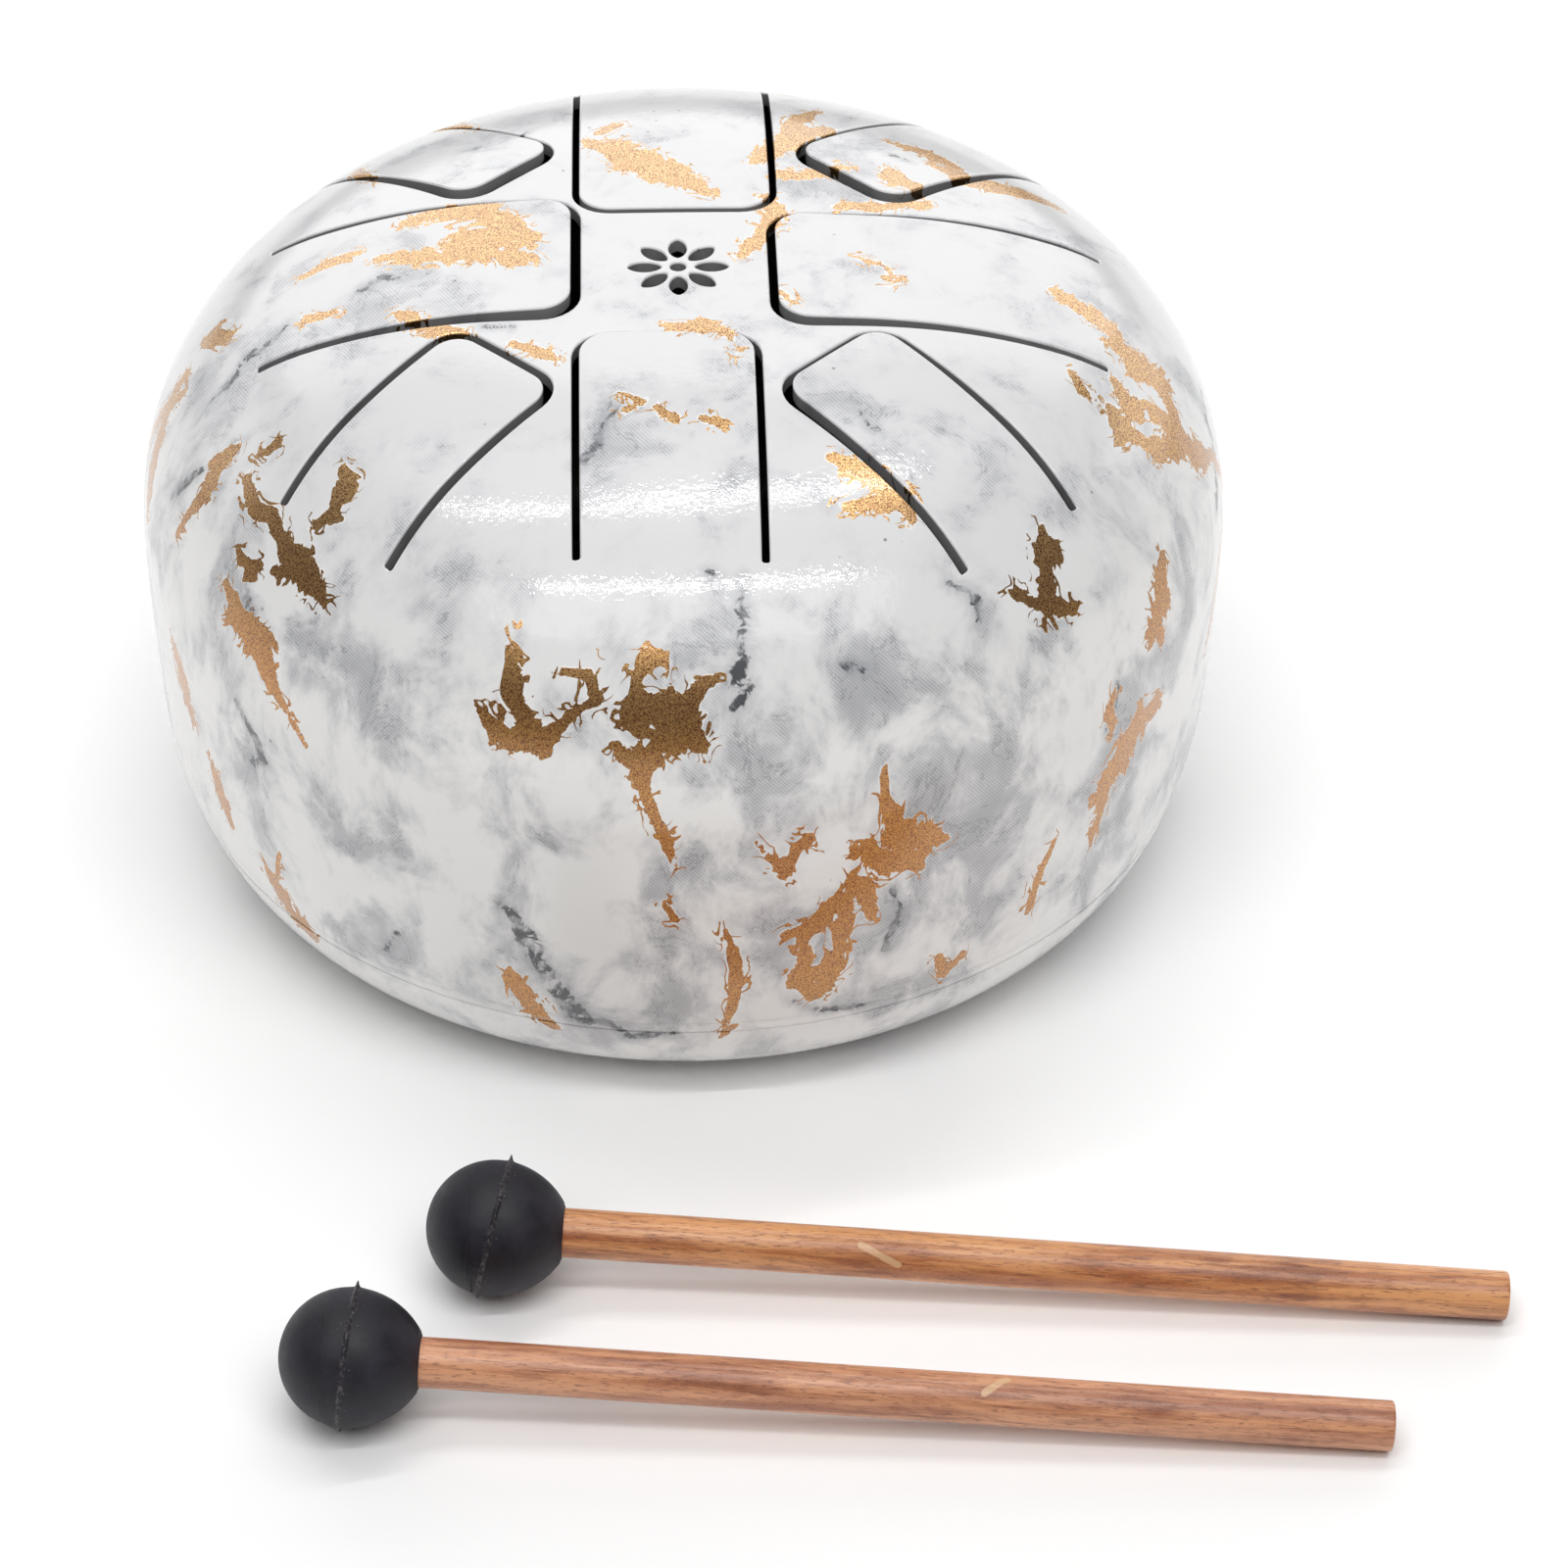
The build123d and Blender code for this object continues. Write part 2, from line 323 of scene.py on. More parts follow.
# ---- Meshes with exact normals ---------------------------------------------------------
class Patchwork:
    """Vertices, and blocks of faces with a normal for each corner, gathered patch by patch."""

    def __init__(self):
        self.points = np.zeros((0, 3))
        self.blocks = []

    def add_points(self, points):
        """Add points, and return their indices."""
        start = len(self.points)
        self.points = np.concatenate([self.points, points])
        return np.arange(start, len(self.points))

    def add_faces(self, corners, normals, slot):
        """Add faces from an array of their corners, with a normal for each corner."""
        self.blocks.append((corners, normals, slot))

    def add_strip(self, first, second, first_normals, second_normals, slot):
        """Join two closed rings of equal length by quads."""
        def wrap(a, b):
            """Corners of each quad between two rings."""
            return np.stack([a, np.roll(a, -1, axis=0), np.roll(b, -1, axis=0), b], 1)
        self.add_faces(wrap(first, second), wrap(first_normals, second_normals), slot)

    def face_count(self):
        """Number of faces so far."""
        return sum(len(corners) for corners, _, _ in self.blocks)

    def make(self, name, materials, chosen=None):
        """Make an object of all the faces, or of those that a mask over them chooses."""
        chosen = np.ones(self.face_count(), bool) if chosen is None else chosen
        picked = []
        for corners, normals, slot in self.blocks:
            mask, chosen = chosen[:len(corners)], chosen[len(corners):]
            picked.append((corners[mask], normals[mask], slot))
        used, place = np.unique(np.concatenate([c.ravel() for c, _, _ in picked]), return_inverse=True)
        faces, slots = [], []
        for corners, _, slot in picked:
            mine, place = place[:corners.size], place[corners.size:]
            faces += mine.reshape(corners.shape).tolist()
            slots += [slot] * len(corners)
        mesh = bpy.data.meshes.new(name)
        mesh.from_pydata((self.points[used] * MM).tolist(), [], faces)
        mesh.polygons.foreach_set("material_index", slots)
        mesh.polygons.foreach_set("use_smooth", [True] * len(faces))
        for material in materials:
            mesh.materials.append(material)
        mesh.normals_split_custom_set(np.concatenate([n.reshape(-1, 3) for _, n, _ in picked]).tolist())
        piece = bpy.data.objects.new(name, mesh)
        scene.collection.objects.link(piece)
        return piece


def revolve(work, rows, slot, first=None, last=None):
    """Revolve rows of (distance from axis, height, normal elevation) into a patchwork. Rows
    are joined in pairs, so a sharp edge is one place repeated with another elevation. The
    first or last row can be a ring of points that is already there."""
    turns = np.linspace(0, 2 * pi, TURN_STEPS, endpoint=False)
    around = np.column_stack([np.cos(turns), np.sin(turns), np.ones(TURN_STEPS)])
    done = None
    for index, (r, z, elevation) in enumerate(rows):
        normals = around * (cos(elevation), cos(elevation), sin(elevation))
        if done and done[0] == (r, z):
            done = (done[0], done[1], normals)
            continue
        if first is not None and index == 0:
            ring = first
        elif last is not None and index == len(rows) - 1:
            ring = last
        else:
            ring = work.add_points(around * (r, r, z))
        if done:
            work.add_strip(done[1], ring, done[2], normals, slot)
        done = ((r, z), ring, normals)


# ---- The upper shell and its tongues ---------------------------------------------------
SKIN, RIM, INSIDE = 0, 1, 2


def hole_loops():
    """One function for each hole in the top, giving its outline grown into the metal."""
    loops = []
    for spec in TONGUES.values():
        loops.append(lambda grow, spec=spec: slot_loop(spec, grow) @ tongue_spin(spec))
    for index in range(PETAL_COUNT):
        loops.append(lambda grow, index=index: petal_loop(index, grow))
    loops.append(eye_loop)
    return loops


def within(points, loop):
    """Which points lie within a closed outline, by counting the edges that each looks across."""
    inside = np.zeros(len(points), bool)
    for (x0, y0), (x1, y1) in zip(loop, np.roll(loop, -1, axis=0)):
        crosses = (points[:, 1] < y0) != (points[:, 1] < y1)
        slope = (x1 - x0) / (y1 - y0) if y1 != y0 else 0.0
        inside ^= crosses & (points[:, 0] < x0 + slope * (points[:, 1] - y0))
    return inside


def plan_grid(loops):
    """Staggered points over the top's plan, clear of every outline and of the outer circle."""
    count = int(TOP_RADIUS / GRID_STEP) + 1
    rows = []
    for j in range(-count, count + 1):
        shift = GRID_STEP / 2 * (j % 2)
        for i in range(-count, count + 1):
            rows.append((i * GRID_STEP + shift, j * GRID_STEP * sqrt(3) / 2))
    grid = np.array(rows)
    grid = grid[np.hypot(*grid.T) < TOP_RADIUS - 0.6 * GRID_STEP]
    for loop in loops:
        near = np.full(len(grid), np.inf)
        for point in loop:
            near = np.minimum(near, np.hypot(*(grid - point).T))
        grid = grid[(near > 0.45 * GRID_STEP) & ~within(grid, loop)]
    return grid


def split_lines(outlines):
    """Plan points across each tongue at the start of its own mesh, ends on its outline."""
    lines = []
    for spec, outline in zip(TONGUES.values(), outlines):
        u, v = (outline @ tongue_spin(spec).T).T
        split = split_distance(spec)
        on_line = np.flatnonzero(np.abs(u - split) < 1e-6)
        inner = [k for k in on_line if -spec.right < v[k] < spec.left]
        start, end = sorted(inner, key=lambda k: v[k])
        across = np.linspace(v[start], v[end], 12)[1:-1]
        between = np.stack([np.full(len(across), split), across], 1) @ tongue_spin(spec)
        lines.append((start, end, between))
    return lines


def triangulate(outlines):
    """Triangles over the top's plan between its circle and its holes. Returns the plan points,
    the triangles, and where each outline starts among the points."""
    turns = np.linspace(0, 2 * pi, TURN_STEPS, endpoint=False)
    circle = TOP_RADIUS * np.stack([np.cos(turns), np.sin(turns)], 1)
    points = list(map(tuple, circle))
    edges = [(k, (k + 1) % TURN_STEPS) for k in range(TURN_STEPS)]
    starts = []
    for outline in outlines:
        start = len(points)
        starts.append(start)
        count = len(outline)
        points.extend(map(tuple, outline))
        edges += [(start + k, start + (k + 1) % count) for k in range(count)]
    for (first, last, between), start in zip(split_lines(outlines), starts):
        chain = [start + first] + list(range(len(points), len(points) + len(between))) + [start + last]
        points.extend(map(tuple, between))
        edges += list(zip(chain, chain[1:]))
    grid = plan_grid(outlines)
    lines = np.array(points[starts[-1] + len(outlines[-1]):])
    for point in lines:
        grid = grid[np.hypot(*(grid - point).T) > 0.45 * GRID_STEP]
    points.extend(map(tuple, grid))
    out, _, triangles, _, _, _ = delaunay_2d_cdt([Vector(p) for p in points], edges, [], 0, 1e-7)
    if len(out) != len(points):
        raise RuntimeError(f"triangulation merged points: {len(points)} became {len(out)}")
    plan = np.array(points)
    triangles = np.array([tri for tri in triangles if len(tri) == 3])
    middles = plan[triangles].mean(1)
    keep = np.ones(len(triangles), bool)
    for outline in outlines:
        keep &= ~within(middles, outline)
    return plan, triangles[keep], starts


def upper_sheet():
    """The whole upper sheet as one patchwork, with the owner of each of its faces."""
    work = Patchwork()
    loops = hole_loops()
    outlines = [loop(EDGE) for loop in loops]
    plan, triangles, starts = triangulate(outlines)
    owner = owners(plan)
    face_owner = [owners(plan[triangles].mean(1))] * 2

    sides = []
    for inset, flip in ((0.0, 1), (SHEET, -1)):
        heights = sheet_height(plan, owner, inset)
        normals = flip * sheet_normals(plan, owner, inset)
        ids = work.add_points(np.column_stack([plan, heights]))
        corners = triangles[:, ::flip]
        work.add_faces(ids[corners], normals[corners], SKIN if flip > 0 else INSIDE)
        sides.append((ids, normals))

    angles = np.linspace(0, pi / 2, EDGE_STEPS + 1)
    for loop, outline, start in zip(loops, outlines, starts):
        count = len(outline)
        edge = loop(0.0)
        # A ring belongs to whatever its outermost outline belongs to.
        ring_owner = owners(outline)
        between = owners((outline + np.roll(outline, -1, axis=0)) / 2)
        away = outline - edge
        away /= np.linalg.norm(away, axis=1)[:, None]
        wall = np.column_stack([-away, np.zeros(count)])
        rings = []
        for angle in angles:
            ring_plan = loop(EDGE * (1 - sin(angle)))
            elevation = top_height(np.hypot(*ring_plan.T))[1]
            drop = EDGE * (1 - cos(angle)) / np.sin(elevation)
            heights = sheet_height(ring_plan, ring_owner) - drop
            up = sheet_normals(ring_plan, ring_owner)
            normals = cos(angle) * up + sin(angle) * wall
            normals /= np.linalg.norm(normals, axis=1)[:, None]
            if angle == 0:
                ids = sides[0][0][start:start + count]
            else:
                ids = work.add_points(np.column_stack([ring_plan, heights]))
            rings.append((ids, normals, SKIN))
        bottom = sheet_height(edge, ring_owner, SHEET)
        rings.append((work.add_points(np.column_stack([edge, bottom])), wall, RIM))
        inner_normals = sides[1][1][start:start + count]
        rings.append((rings[-1][0], inner_normals, INSIDE))
        rings.append((sides[1][0][start:start + count], inner_normals, INSIDE))
        for (a, a_normals, _), (b, b_normals, slot) in zip(rings, rings[1:]):
            if a[0] == b[0]:
                continue
            work.add_strip(b, a, b_normals, a_normals, slot)
            face_owner.append(between)

    circle_elevation = float(top_height([TOP_RADIUS])[1][0])
    inner_elevation = float(top_height([TOP_RADIUS], SHEET)[1][0])
    outer_end, inner_end = seam_rows(SEAM_HEIGHT + WELD_WIDTH / 2, 1)
    outer = profile_points(UPPER, 0.0, circle_elevation, 0.0, SIDE_STEP)
    outer += profile_points(LOWER, 0.0, 0.0, outer_end[0][2], SIDE_STEP)[1:-1] + outer_end
    inner = profile_points(UPPER, SHEET, inner_elevation, 0.0, INNER_STEP)
    inner += profile_points(LOWER, SHEET, 0.0, inner_end[2], INNER_STEP)[1:]
    before = work.face_count()
    revolve(work, outer[::-1], SKIN, last=sides[0][0][:TURN_STEPS])
    revolve(work, flipped(inner), INSIDE, first=sides[1][0][:TURN_STEPS])
    butt = [(outer[-1][0], outer[-1][1], -pi / 2), (inner[-1][0], inner[-1][1], -pi / 2)]
    revolve(work, butt[::-1], RIM)
    face_owner.append(np.full(work.face_count() - before, -1))
    return work, np.concatenate(face_owner)


def flipped(rows):
    """The same rows with their normals turned round, for an inner side."""
    return [(r, z, elevation + pi) for r, z, elevation in rows]


def elevation_at(height, inset):
    """Normal elevation of the lower part's profile at a height."""
    for _, centre_z, radius, start, end in LOWER:
        size = radius - inset
        if centre_z + size * sin(end) <= height <= centre_z + size * sin(start) + 1e-9:
            return asin((height - centre_z) / size)
    raise ValueError("the lower profile doesn't reach this height")


def seam_rows(height, way):
    """Rows that round the skin's edge at the seam, walking off the skin, and the inner row."""
    start = elevation_at(height + way * SEAM_EDGE, 0.0)
    row = profile_points(LOWER, 0.0, start + 1e-9, start, SIDE_STEP)
    r, z, elevation = row[0]
    rows = []
    for angle in np.linspace(0, pi / 2, 4):
        inward = SEAM_EDGE * (1 - cos(angle))
        down = SEAM_EDGE * sin(angle)
        rows.append((r - inward, z - way * down, elevation - way * angle))
    inner = elevation_at(height, SHEET)
    inner_row = profile_points(LOWER, SHEET, inner + 1e-9, inner, SIDE_STEP)[0]
    return rows, inner_row


def make_upper(materials):
    """The upper shell and eight tongues, cut from one sheet so that they meet exactly."""
    work, face_owner = upper_sheet()
    pieces = {}
    for index, name in enumerate(("upper_shell", *(f"tongue_{t}" for t in TONGUES))):
        pieces[name] = work.make(f"{name}_skin", materials, face_owner == index - 1)
    return pieces


# ---- The lower shell, the weld and the feet --------------------------------------------
def make_lower(materials):
    """Shallow dish with the round sound hole in its flat base."""
    work = Patchwork()
    seam, inner_seam = seam_rows(SEAM_HEIGHT - WELD_WIDTH / 2, -1)
    skin = profile_points(LOWER, 0.0, seam[0][2], -pi / 2, SIDE_STEP)[1:]
    flat = [(r, FOOT_HEIGHT, -pi / 2) for r in np.linspace(skin[-1][0], SOUND_HOLE_RADIUS + EDGE, 14)[1:]]
    rim = [
        (SOUND_HOLE_RADIUS + EDGE * (1 - sin(a)), FOOT_HEIGHT + EDGE * (1 - cos(a)), -pi / 2 - a)
        for a in np.linspace(0, pi / 2, 4)[1:]
    ]
    revolve(work, (seam[::-1] + skin + flat + rim)[::-1], SKIN)
    inner = profile_points(LOWER, SHEET, inner_seam[2], -pi / 2, INNER_STEP)
    floor_z = FOOT_HEIGHT + SHEET
    inner += [(r, floor_z, -pi / 2) for r in np.linspace(inner[-1][0], SOUND_HOLE_RADIUS, 12)[1:]]
    revolve(work, flipped(inner), INSIDE)
    revolve(work, [(SOUND_HOLE_RADIUS, floor_z, pi), (SOUND_HOLE_RADIUS, FOOT_HEIGHT + EDGE, pi)], RIM)
    top = seam[-1]
    revolve(work, [(top[0], top[1], pi / 2), (inner_seam[0], inner_seam[1], pi / 2)], RIM)
    return work.make("lower_shell_skin", materials)


def make_weld(materials):
    """Ground weld between the shells, a hair below the skin at its edges."""
    work = Patchwork()
    rows = []
    for t in np.linspace(0, 1, 7):
        height = SEAM_HEIGHT + WELD_WIDTH * (t - 0.5)
        inset = 0.12 - 0.09 * sin(pi * t)
        elevation = elevation_at(height, inset)
        row = profile_points(LOWER, inset, elevation + 1e-9, elevation, SIDE_STEP)[0]
        rows.append((row[0], row[1], elevation - 0.2 * cos(pi * t)))
    revolve(work, rows, SKIN)
    inner = []
    for t in np.linspace(1, 0, 7):
        height = SEAM_HEIGHT + WELD_WIDTH * (t - 0.5)
        elevation = elevation_at(height, SHEET)
        row = profile_points(LOWER, SHEET, elevation + 1e-9, elevation, SIDE_STEP)[0]
        inner.append((row[0] - 0.3 * sin(pi * t), row[1], elevation + pi))
    revolve(work, inner, INSIDE)
    for a, b in ((rows[-1], inner[0]), (inner[-1], rows[0])):
        facing = pi / 2 if a is rows[-1] else -pi / 2
        revolve(work, [(a[0], a[1], facing), (b[0], b[1], facing)], RIM)
    return work.make("seam_weld_skin", materials)


def lathe_mesh(name, rows, steps, place, reshape=None):
    """Closed smooth mesh turned about its own Z from (radius, height) rows whose ends lie on
    the axis, then moved to its place. reshape can move each row's points. The mesh remembers
    its own coordinates for its material."""
    turns = np.linspace(0, 2 * pi, steps, endpoint=False)
    points = [(0.0, 0.0, rows[0][1])]
    for r, z in rows[1:-1]:
        ring = np.column_stack([r * np.cos(turns), r * np.sin(turns), np.full(steps, z)])
        points.extend(map(tuple, ring if reshape is None else reshape(ring, turns)))
    points.append((0.0, 0.0, rows[-1][1]))
    last = len(points) - 1
    faces = []
    for k in range(steps):
        n = (k + 1) % steps
        faces.append((0, 1 + n, 1 + k))
        for j in range(len(rows) - 3):
            a, b = 1 + j * steps, 1 + (j + 1) * steps
            faces.append((a + k, a + n, b + n, b + k))
        faces.append((last, last - steps + k, last - steps + n))
    mesh = bpy.data.meshes.new(name)
    mesh.from_pydata([tuple(c * MM for c in p) for p in points], [], faces)
    mesh.polygons.foreach_set("use_smooth", [True] * len(faces))
    own = mesh.attributes.new("own_place", "FLOAT_VECTOR", "POINT")
    own.data.foreach_set("vector", [c * MM for p in points for c in p])
    mesh.transform(place)
    piece = bpy.data.objects.new(name, mesh)
    scene.collection.objects.link(piece)
    return piece


def rounded_rows(radius, low, high, low_round, high_round, steps=6):
    """Rows of a solid cylinder with rounded edges, dense across its flat ends."""
    rows = [(0.0, low)]
    rows += [(r, low) for r in np.linspace(0, radius - low_round, 6)[1:-1]]
    for a in np.linspace(0, pi / 2, steps):
        rows.append((radius - low_round + low_round * sin(a), low + low_round * (1 - cos(a))))
    count = max(3, int((high - low) / radius))
    rows += [(radius, z) for z in np.linspace(low + low_round, high - high_round, count)[1:-1]]
    for a in np.linspace(pi / 2, 0, steps):
        rows.append((radius - high_round + high_round * sin(a), high - high_round * (1 - cos(a))))
    rows += [(r, high) for r in np.linspace(radius - high_round, 0, 6)[1:-1]]
    return rows + [(0.0, high)]


def make_foot(node, material):
    """Rubber foot, slightly dished underneath."""
    low, high = (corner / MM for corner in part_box(node))
    centre = (low + high) / 2
    radius = (high.x - low.x) / 2
    rows = rounded_rows(radius, 0.0, high.z - low.z, 0.8, 0.3)
    rows[0] = (0.0, 0.35)
    rows[1] = (rows[1][0], 0.3)
    place = Matrix.Translation((centre.x * MM, centre.y * MM, low.z * MM))
    piece = lathe_mesh(f"{node}_rubber", rows, 64, place)
    piece.data.materials.append(material)
    return piece


# ---- Mallets ---------------------------------------------------------------------------
BALL_RADIUS = 9.0
NECK_RADIUS = 3.7
NECK_DISTANCE = 9.2
FIN_PROUD = 0.4
NIB_PROUD = 0.6
FIN_TOP = radians(141)
# The ball is meshed finely this far to each side of its middle, in rows this far apart.
FIN_ZONE = 3.1
FIN_STEP = 0.09
STICK_RADIUS = 3.3
STICK_REACH = 134.4
# Ball centre, heading of the stick, and how far the moulding fin leans, in degrees.
Mallet = namedtuple("Mallet", "x y heading lean")
MALLETS = {
    "front_mallet": Mallet(-45.5, -129.1, -4.1, 3.5),
    "rear_mallet": Mallet(-27.2, -105.9, -4.2, 10.5),
}


def mallet_matrix(name):
    """Place of a mallet, with +Z along its stick and the origin at its ball."""
    spec = MALLETS[name]
    height = BALL_RADIUS + FIN_PROUD
    tilt = asin((height - STICK_RADIUS) / STICK_REACH)
    move = Matrix.Translation((spec.x * MM, spec.y * MM, height * MM))
    return move @ Matrix.Rotation(radians(spec.heading), 4, "Z") @ Matrix.Rotation(pi / 2 + tilt, 4, "Y")


def make_head(name, material):
    """Moulded rubber ball that narrows to a flat neck, with the mould's fin around it."""
    back_drop = BALL_RADIUS - NECK_RADIUS
    back_radius = (NECK_DISTANCE**2 + back_drop**2) / (2 * back_drop)
    heights = -BALL_RADIUS * np.cos(np.linspace(0, 1.33, 44))
    heights = np.concatenate([heights, np.arange(-FIN_ZONE, 0, FIN_STEP)])
    rows = [(sqrt(BALL_RADIUS**2 - z * z), z) for z in heights]
    back_heights = np.linspace(FIN_ZONE + 0.1, NECK_DISTANCE, 36)
    back_heights = np.concatenate([np.arange(0, FIN_ZONE, FIN_STEP), back_heights])
    back = [(BALL_RADIUS - back_radius + sqrt(back_radius**2 - z * z), z) for z in back_heights]
    lip = 0.25
    neck = [
        (NECK_RADIUS - lip + lip * cos(a), NECK_DISTANCE - lip + lip * sin(a))
        for a in np.linspace(0.3, pi / 2, 5)
    ]
    rows += back[:-1] + neck
    rows += [(r, NECK_DISTANCE) for r in (STICK_RADIUS + 0.05, STICK_RADIUS)]
    rows += [(r, NECK_DISTANCE - 1.2) for r in (STICK_RADIUS - 0.05, 1.5, 0.0)]
    rng = random.Random(name)
    waves = [(k, rng.uniform(0.3, 1.0) / k, rng.uniform(0, 2 * pi)) for k in (2, 3, 5, 9, 14, 23)]
    lean = radians(MALLETS[name].lean)

    def reshape(ring, turns):
        """Raise the fin, ragged along its edge, and leave a nib at its top."""
        ripple = sum(size * np.sin(k * turns + phase) for k, size, phase in waves)
        off = ring[:, 2] - np.hypot(ring[:, 0], ring[:, 1]) * np.cos(turns - FIN_TOP) * tan(lean)
        ridge = np.exp(-((off / 0.2) ** 2)) + 0.3 * np.exp(-((off / 0.7) ** 2))
        at_top = np.exp(-(((turns - FIN_TOP) / 0.05) ** 2))
        at_foot = 0.5 * np.exp(-(((turns - FIN_TOP - pi) / 0.06) ** 2))
        nib = (at_top + at_foot) * np.exp(-((off / 0.25) ** 2))
        proud = ridge * FIN_PROUD * (0.72 + 0.2 * ripple)
        scale = 1 + (np.clip(proud, 0, FIN_PROUD) + NIB_PROUD * nib) / BALL_RADIUS
        ring[:, 0] *= scale
        ring[:, 1] *= scale
        return ring

    piece = lathe_mesh(f"{name}_rubber_head", rows, 220, mallet_matrix(name), reshape)
    piece.data.materials.append(material)
    return piece


def make_stick(name, material):
    """Straight wooden stick with slightly rounded ends."""
    rows = rounded_rows(STICK_RADIUS - 0.02, NECK_DISTANCE - 1.0, STICK_REACH - 0.05, 0.1, 0.4)
    piece = lathe_mesh(f"{name}_wood_stick", rows, 72, mallet_matrix(name))
    piece.data.materials.append(material)
    return piece


# ---- Material graphs -------------------------------------------------------------------
class Graph:
    """Short calls for building one node material."""

    def __init__(self, name, own_place=False):
        self.material = bpy.data.materials.new(name)
        self.material.use_nodes = True
        self.tree = self.material.node_tree
        self.shader = self.tree.nodes["Principled BSDF"]
        if own_place:
            self.coords = self.attribute("own_place", "Vector")
        else:
            self.coords = self.tree.nodes.new("ShaderNodeTexCoord").outputs["Object"]

    def put(self, value, socket):
        """Link a socket, or set a plain value."""
        if isinstance(value, bpy.types.NodeSocket):
            self.tree.links.new(value, socket)
        else:
            socket.default_value = value

    def math(self, operation, a, b=0.0, c=0.0, clamp=False):
        """One arithmetic step."""
        node = self.tree.nodes.new("ShaderNodeMath")
        node.operation = operation
        node.use_clamp = clamp
        for value, socket in zip((a, b, c), node.inputs):
            self.put(value, socket)
        return node.outputs[0]

    def vector(self, operation, a, b=(0, 0, 0)):
        """One step of vector arithmetic."""
        node = self.tree.nodes.new("ShaderNodeVectorMath")
        node.operation = operation
        self.put(a, node.inputs[0])
        if operation != "LENGTH":
            self.put(b, node.inputs[3 if operation == "SCALE" else 1])
        return node.outputs["Value" if operation in ("LENGTH", "DOT_PRODUCT") else "Vector"]

    def noise(self, scale, detail=2.0, roughness=0.5, distortion=0.0, coords=None, colour=False):
        """Fractal noise, scale in features per metre."""
        node = self.tree.nodes.new("ShaderNodeTexNoise")
        self.put(self.coords if coords is None else coords, node.inputs["Vector"])
        node.inputs["Scale"].default_value = scale
        node.inputs["Detail"].default_value = detail
        node.inputs["Roughness"].default_value = roughness
        node.inputs["Distortion"].default_value = distortion
        return node.outputs["Color" if colour else "Fac"]

    def cells(self, scale):
        """Distance in a cellular pattern, scale in cells per metre."""
        node = self.tree.nodes.new("ShaderNodeTexVoronoi")
        self.put(self.coords, node.inputs["Vector"])
        node.inputs["Scale"].default_value = scale
        return node.outputs["Distance"]

    def step(self, value, low, high, start=0.0, end=1.0):
        """Smooth step of a value between two places."""
        node = self.tree.nodes.new("ShaderNodeMapRange")
        node.interpolation_type = "SMOOTHSTEP"
        self.put(value, node.inputs["Value"])
        for name, number in (("From Min", low), ("From Max", high), ("To Min", start), ("To Max", end)):
            self.put(number, node.inputs[name])
        return node.outputs["Result"]

    def mix(self, factor, a, b, blend="MIX"):
        """Mix of two colours."""
        node = self.tree.nodes.new("ShaderNodeMix")
        node.data_type = "RGBA"
        node.blend_type = blend
        self.put(factor, node.inputs["Factor"])
        colours = [socket for socket in node.inputs if socket.type == "RGBA"]
        for value, socket in zip((a, b), colours):
            self.put(value, socket)
        return [socket for socket in node.outputs if socket.type == "RGBA"][0]

    def attribute(self, name, output="Fac"):
        """A number, or a vector, stored on the mesh."""
        node = self.tree.nodes.new("ShaderNodeAttribute")
        node.attribute_name = name
        return node.outputs[output]

    def split(self, vector):
        """The three parts of a vector."""
        node = self.tree.nodes.new("ShaderNodeSeparateXYZ")
        self.put(vector, node.inputs[0])
        return node.outputs

    def join(self, x, y, z):
        """A vector from its parts."""
        node = self.tree.nodes.new("ShaderNodeCombineXYZ")
        for value, socket in zip((x, y, z), node.inputs):
            self.put(value, socket)
        return node.outputs[0]

    def bump(self, height, distance, strength=1.0):
        """Bump from a height between 0 and 1, distance in millimetres."""
        node = self.tree.nodes.new("ShaderNodeBump")
        node.inputs["Strength"].default_value = strength
        node.inputs["Distance"].default_value = distance * MM
        self.put(height, node.inputs["Height"])
        return node.outputs["Normal"]

    def finish(self, **values):
        """Set the shader's sockets by name, underscores for spaces."""
        for name, value in values.items():
            self.put(value, self.shader.inputs[name.replace("_", " ")])
        return self.material


def srgb(red, green, blue):
    """Linear colour, with alpha, from display values between 0 and 255."""
    def linear(value):
        """One channel, made linear."""
        value /= 255
        return value / 12.92 if value <= 0.04045 else ((value + 0.055) / 1.055) ** 2.4
    return (linear(red), linear(green), linear(blue), 1.0)


# ---- Marble and gold paint -------------------------------------------------------------
def paint_place(azimuth, reach):
    """Place on the skin at an azimuth in degrees and a distance in millimetres walked down
    the skin from the middle of the top."""
    r = np.interp(reach, SKIN_WALK, SKIN_LINE[:, 0])
    z = np.interp(reach, SKIN_WALK, SKIN_LINE[:, 1])
    return np.array([r * cos(radians(azimuth)), r * sin(radians(azimuth)), z])


SKIN_LINE = np.array(
    profile_points(UPPER, 0.0, pi / 2, 0.0, 1.0) + profile_points(LOWER, 0.0, 0.0, -pi / 2, 1.0)[1:]
)
SKIN_WALK = np.concatenate([[0.0], np.cumsum(np.hypot(*np.diff(SKIN_LINE[:, :2], axis=0).T))])

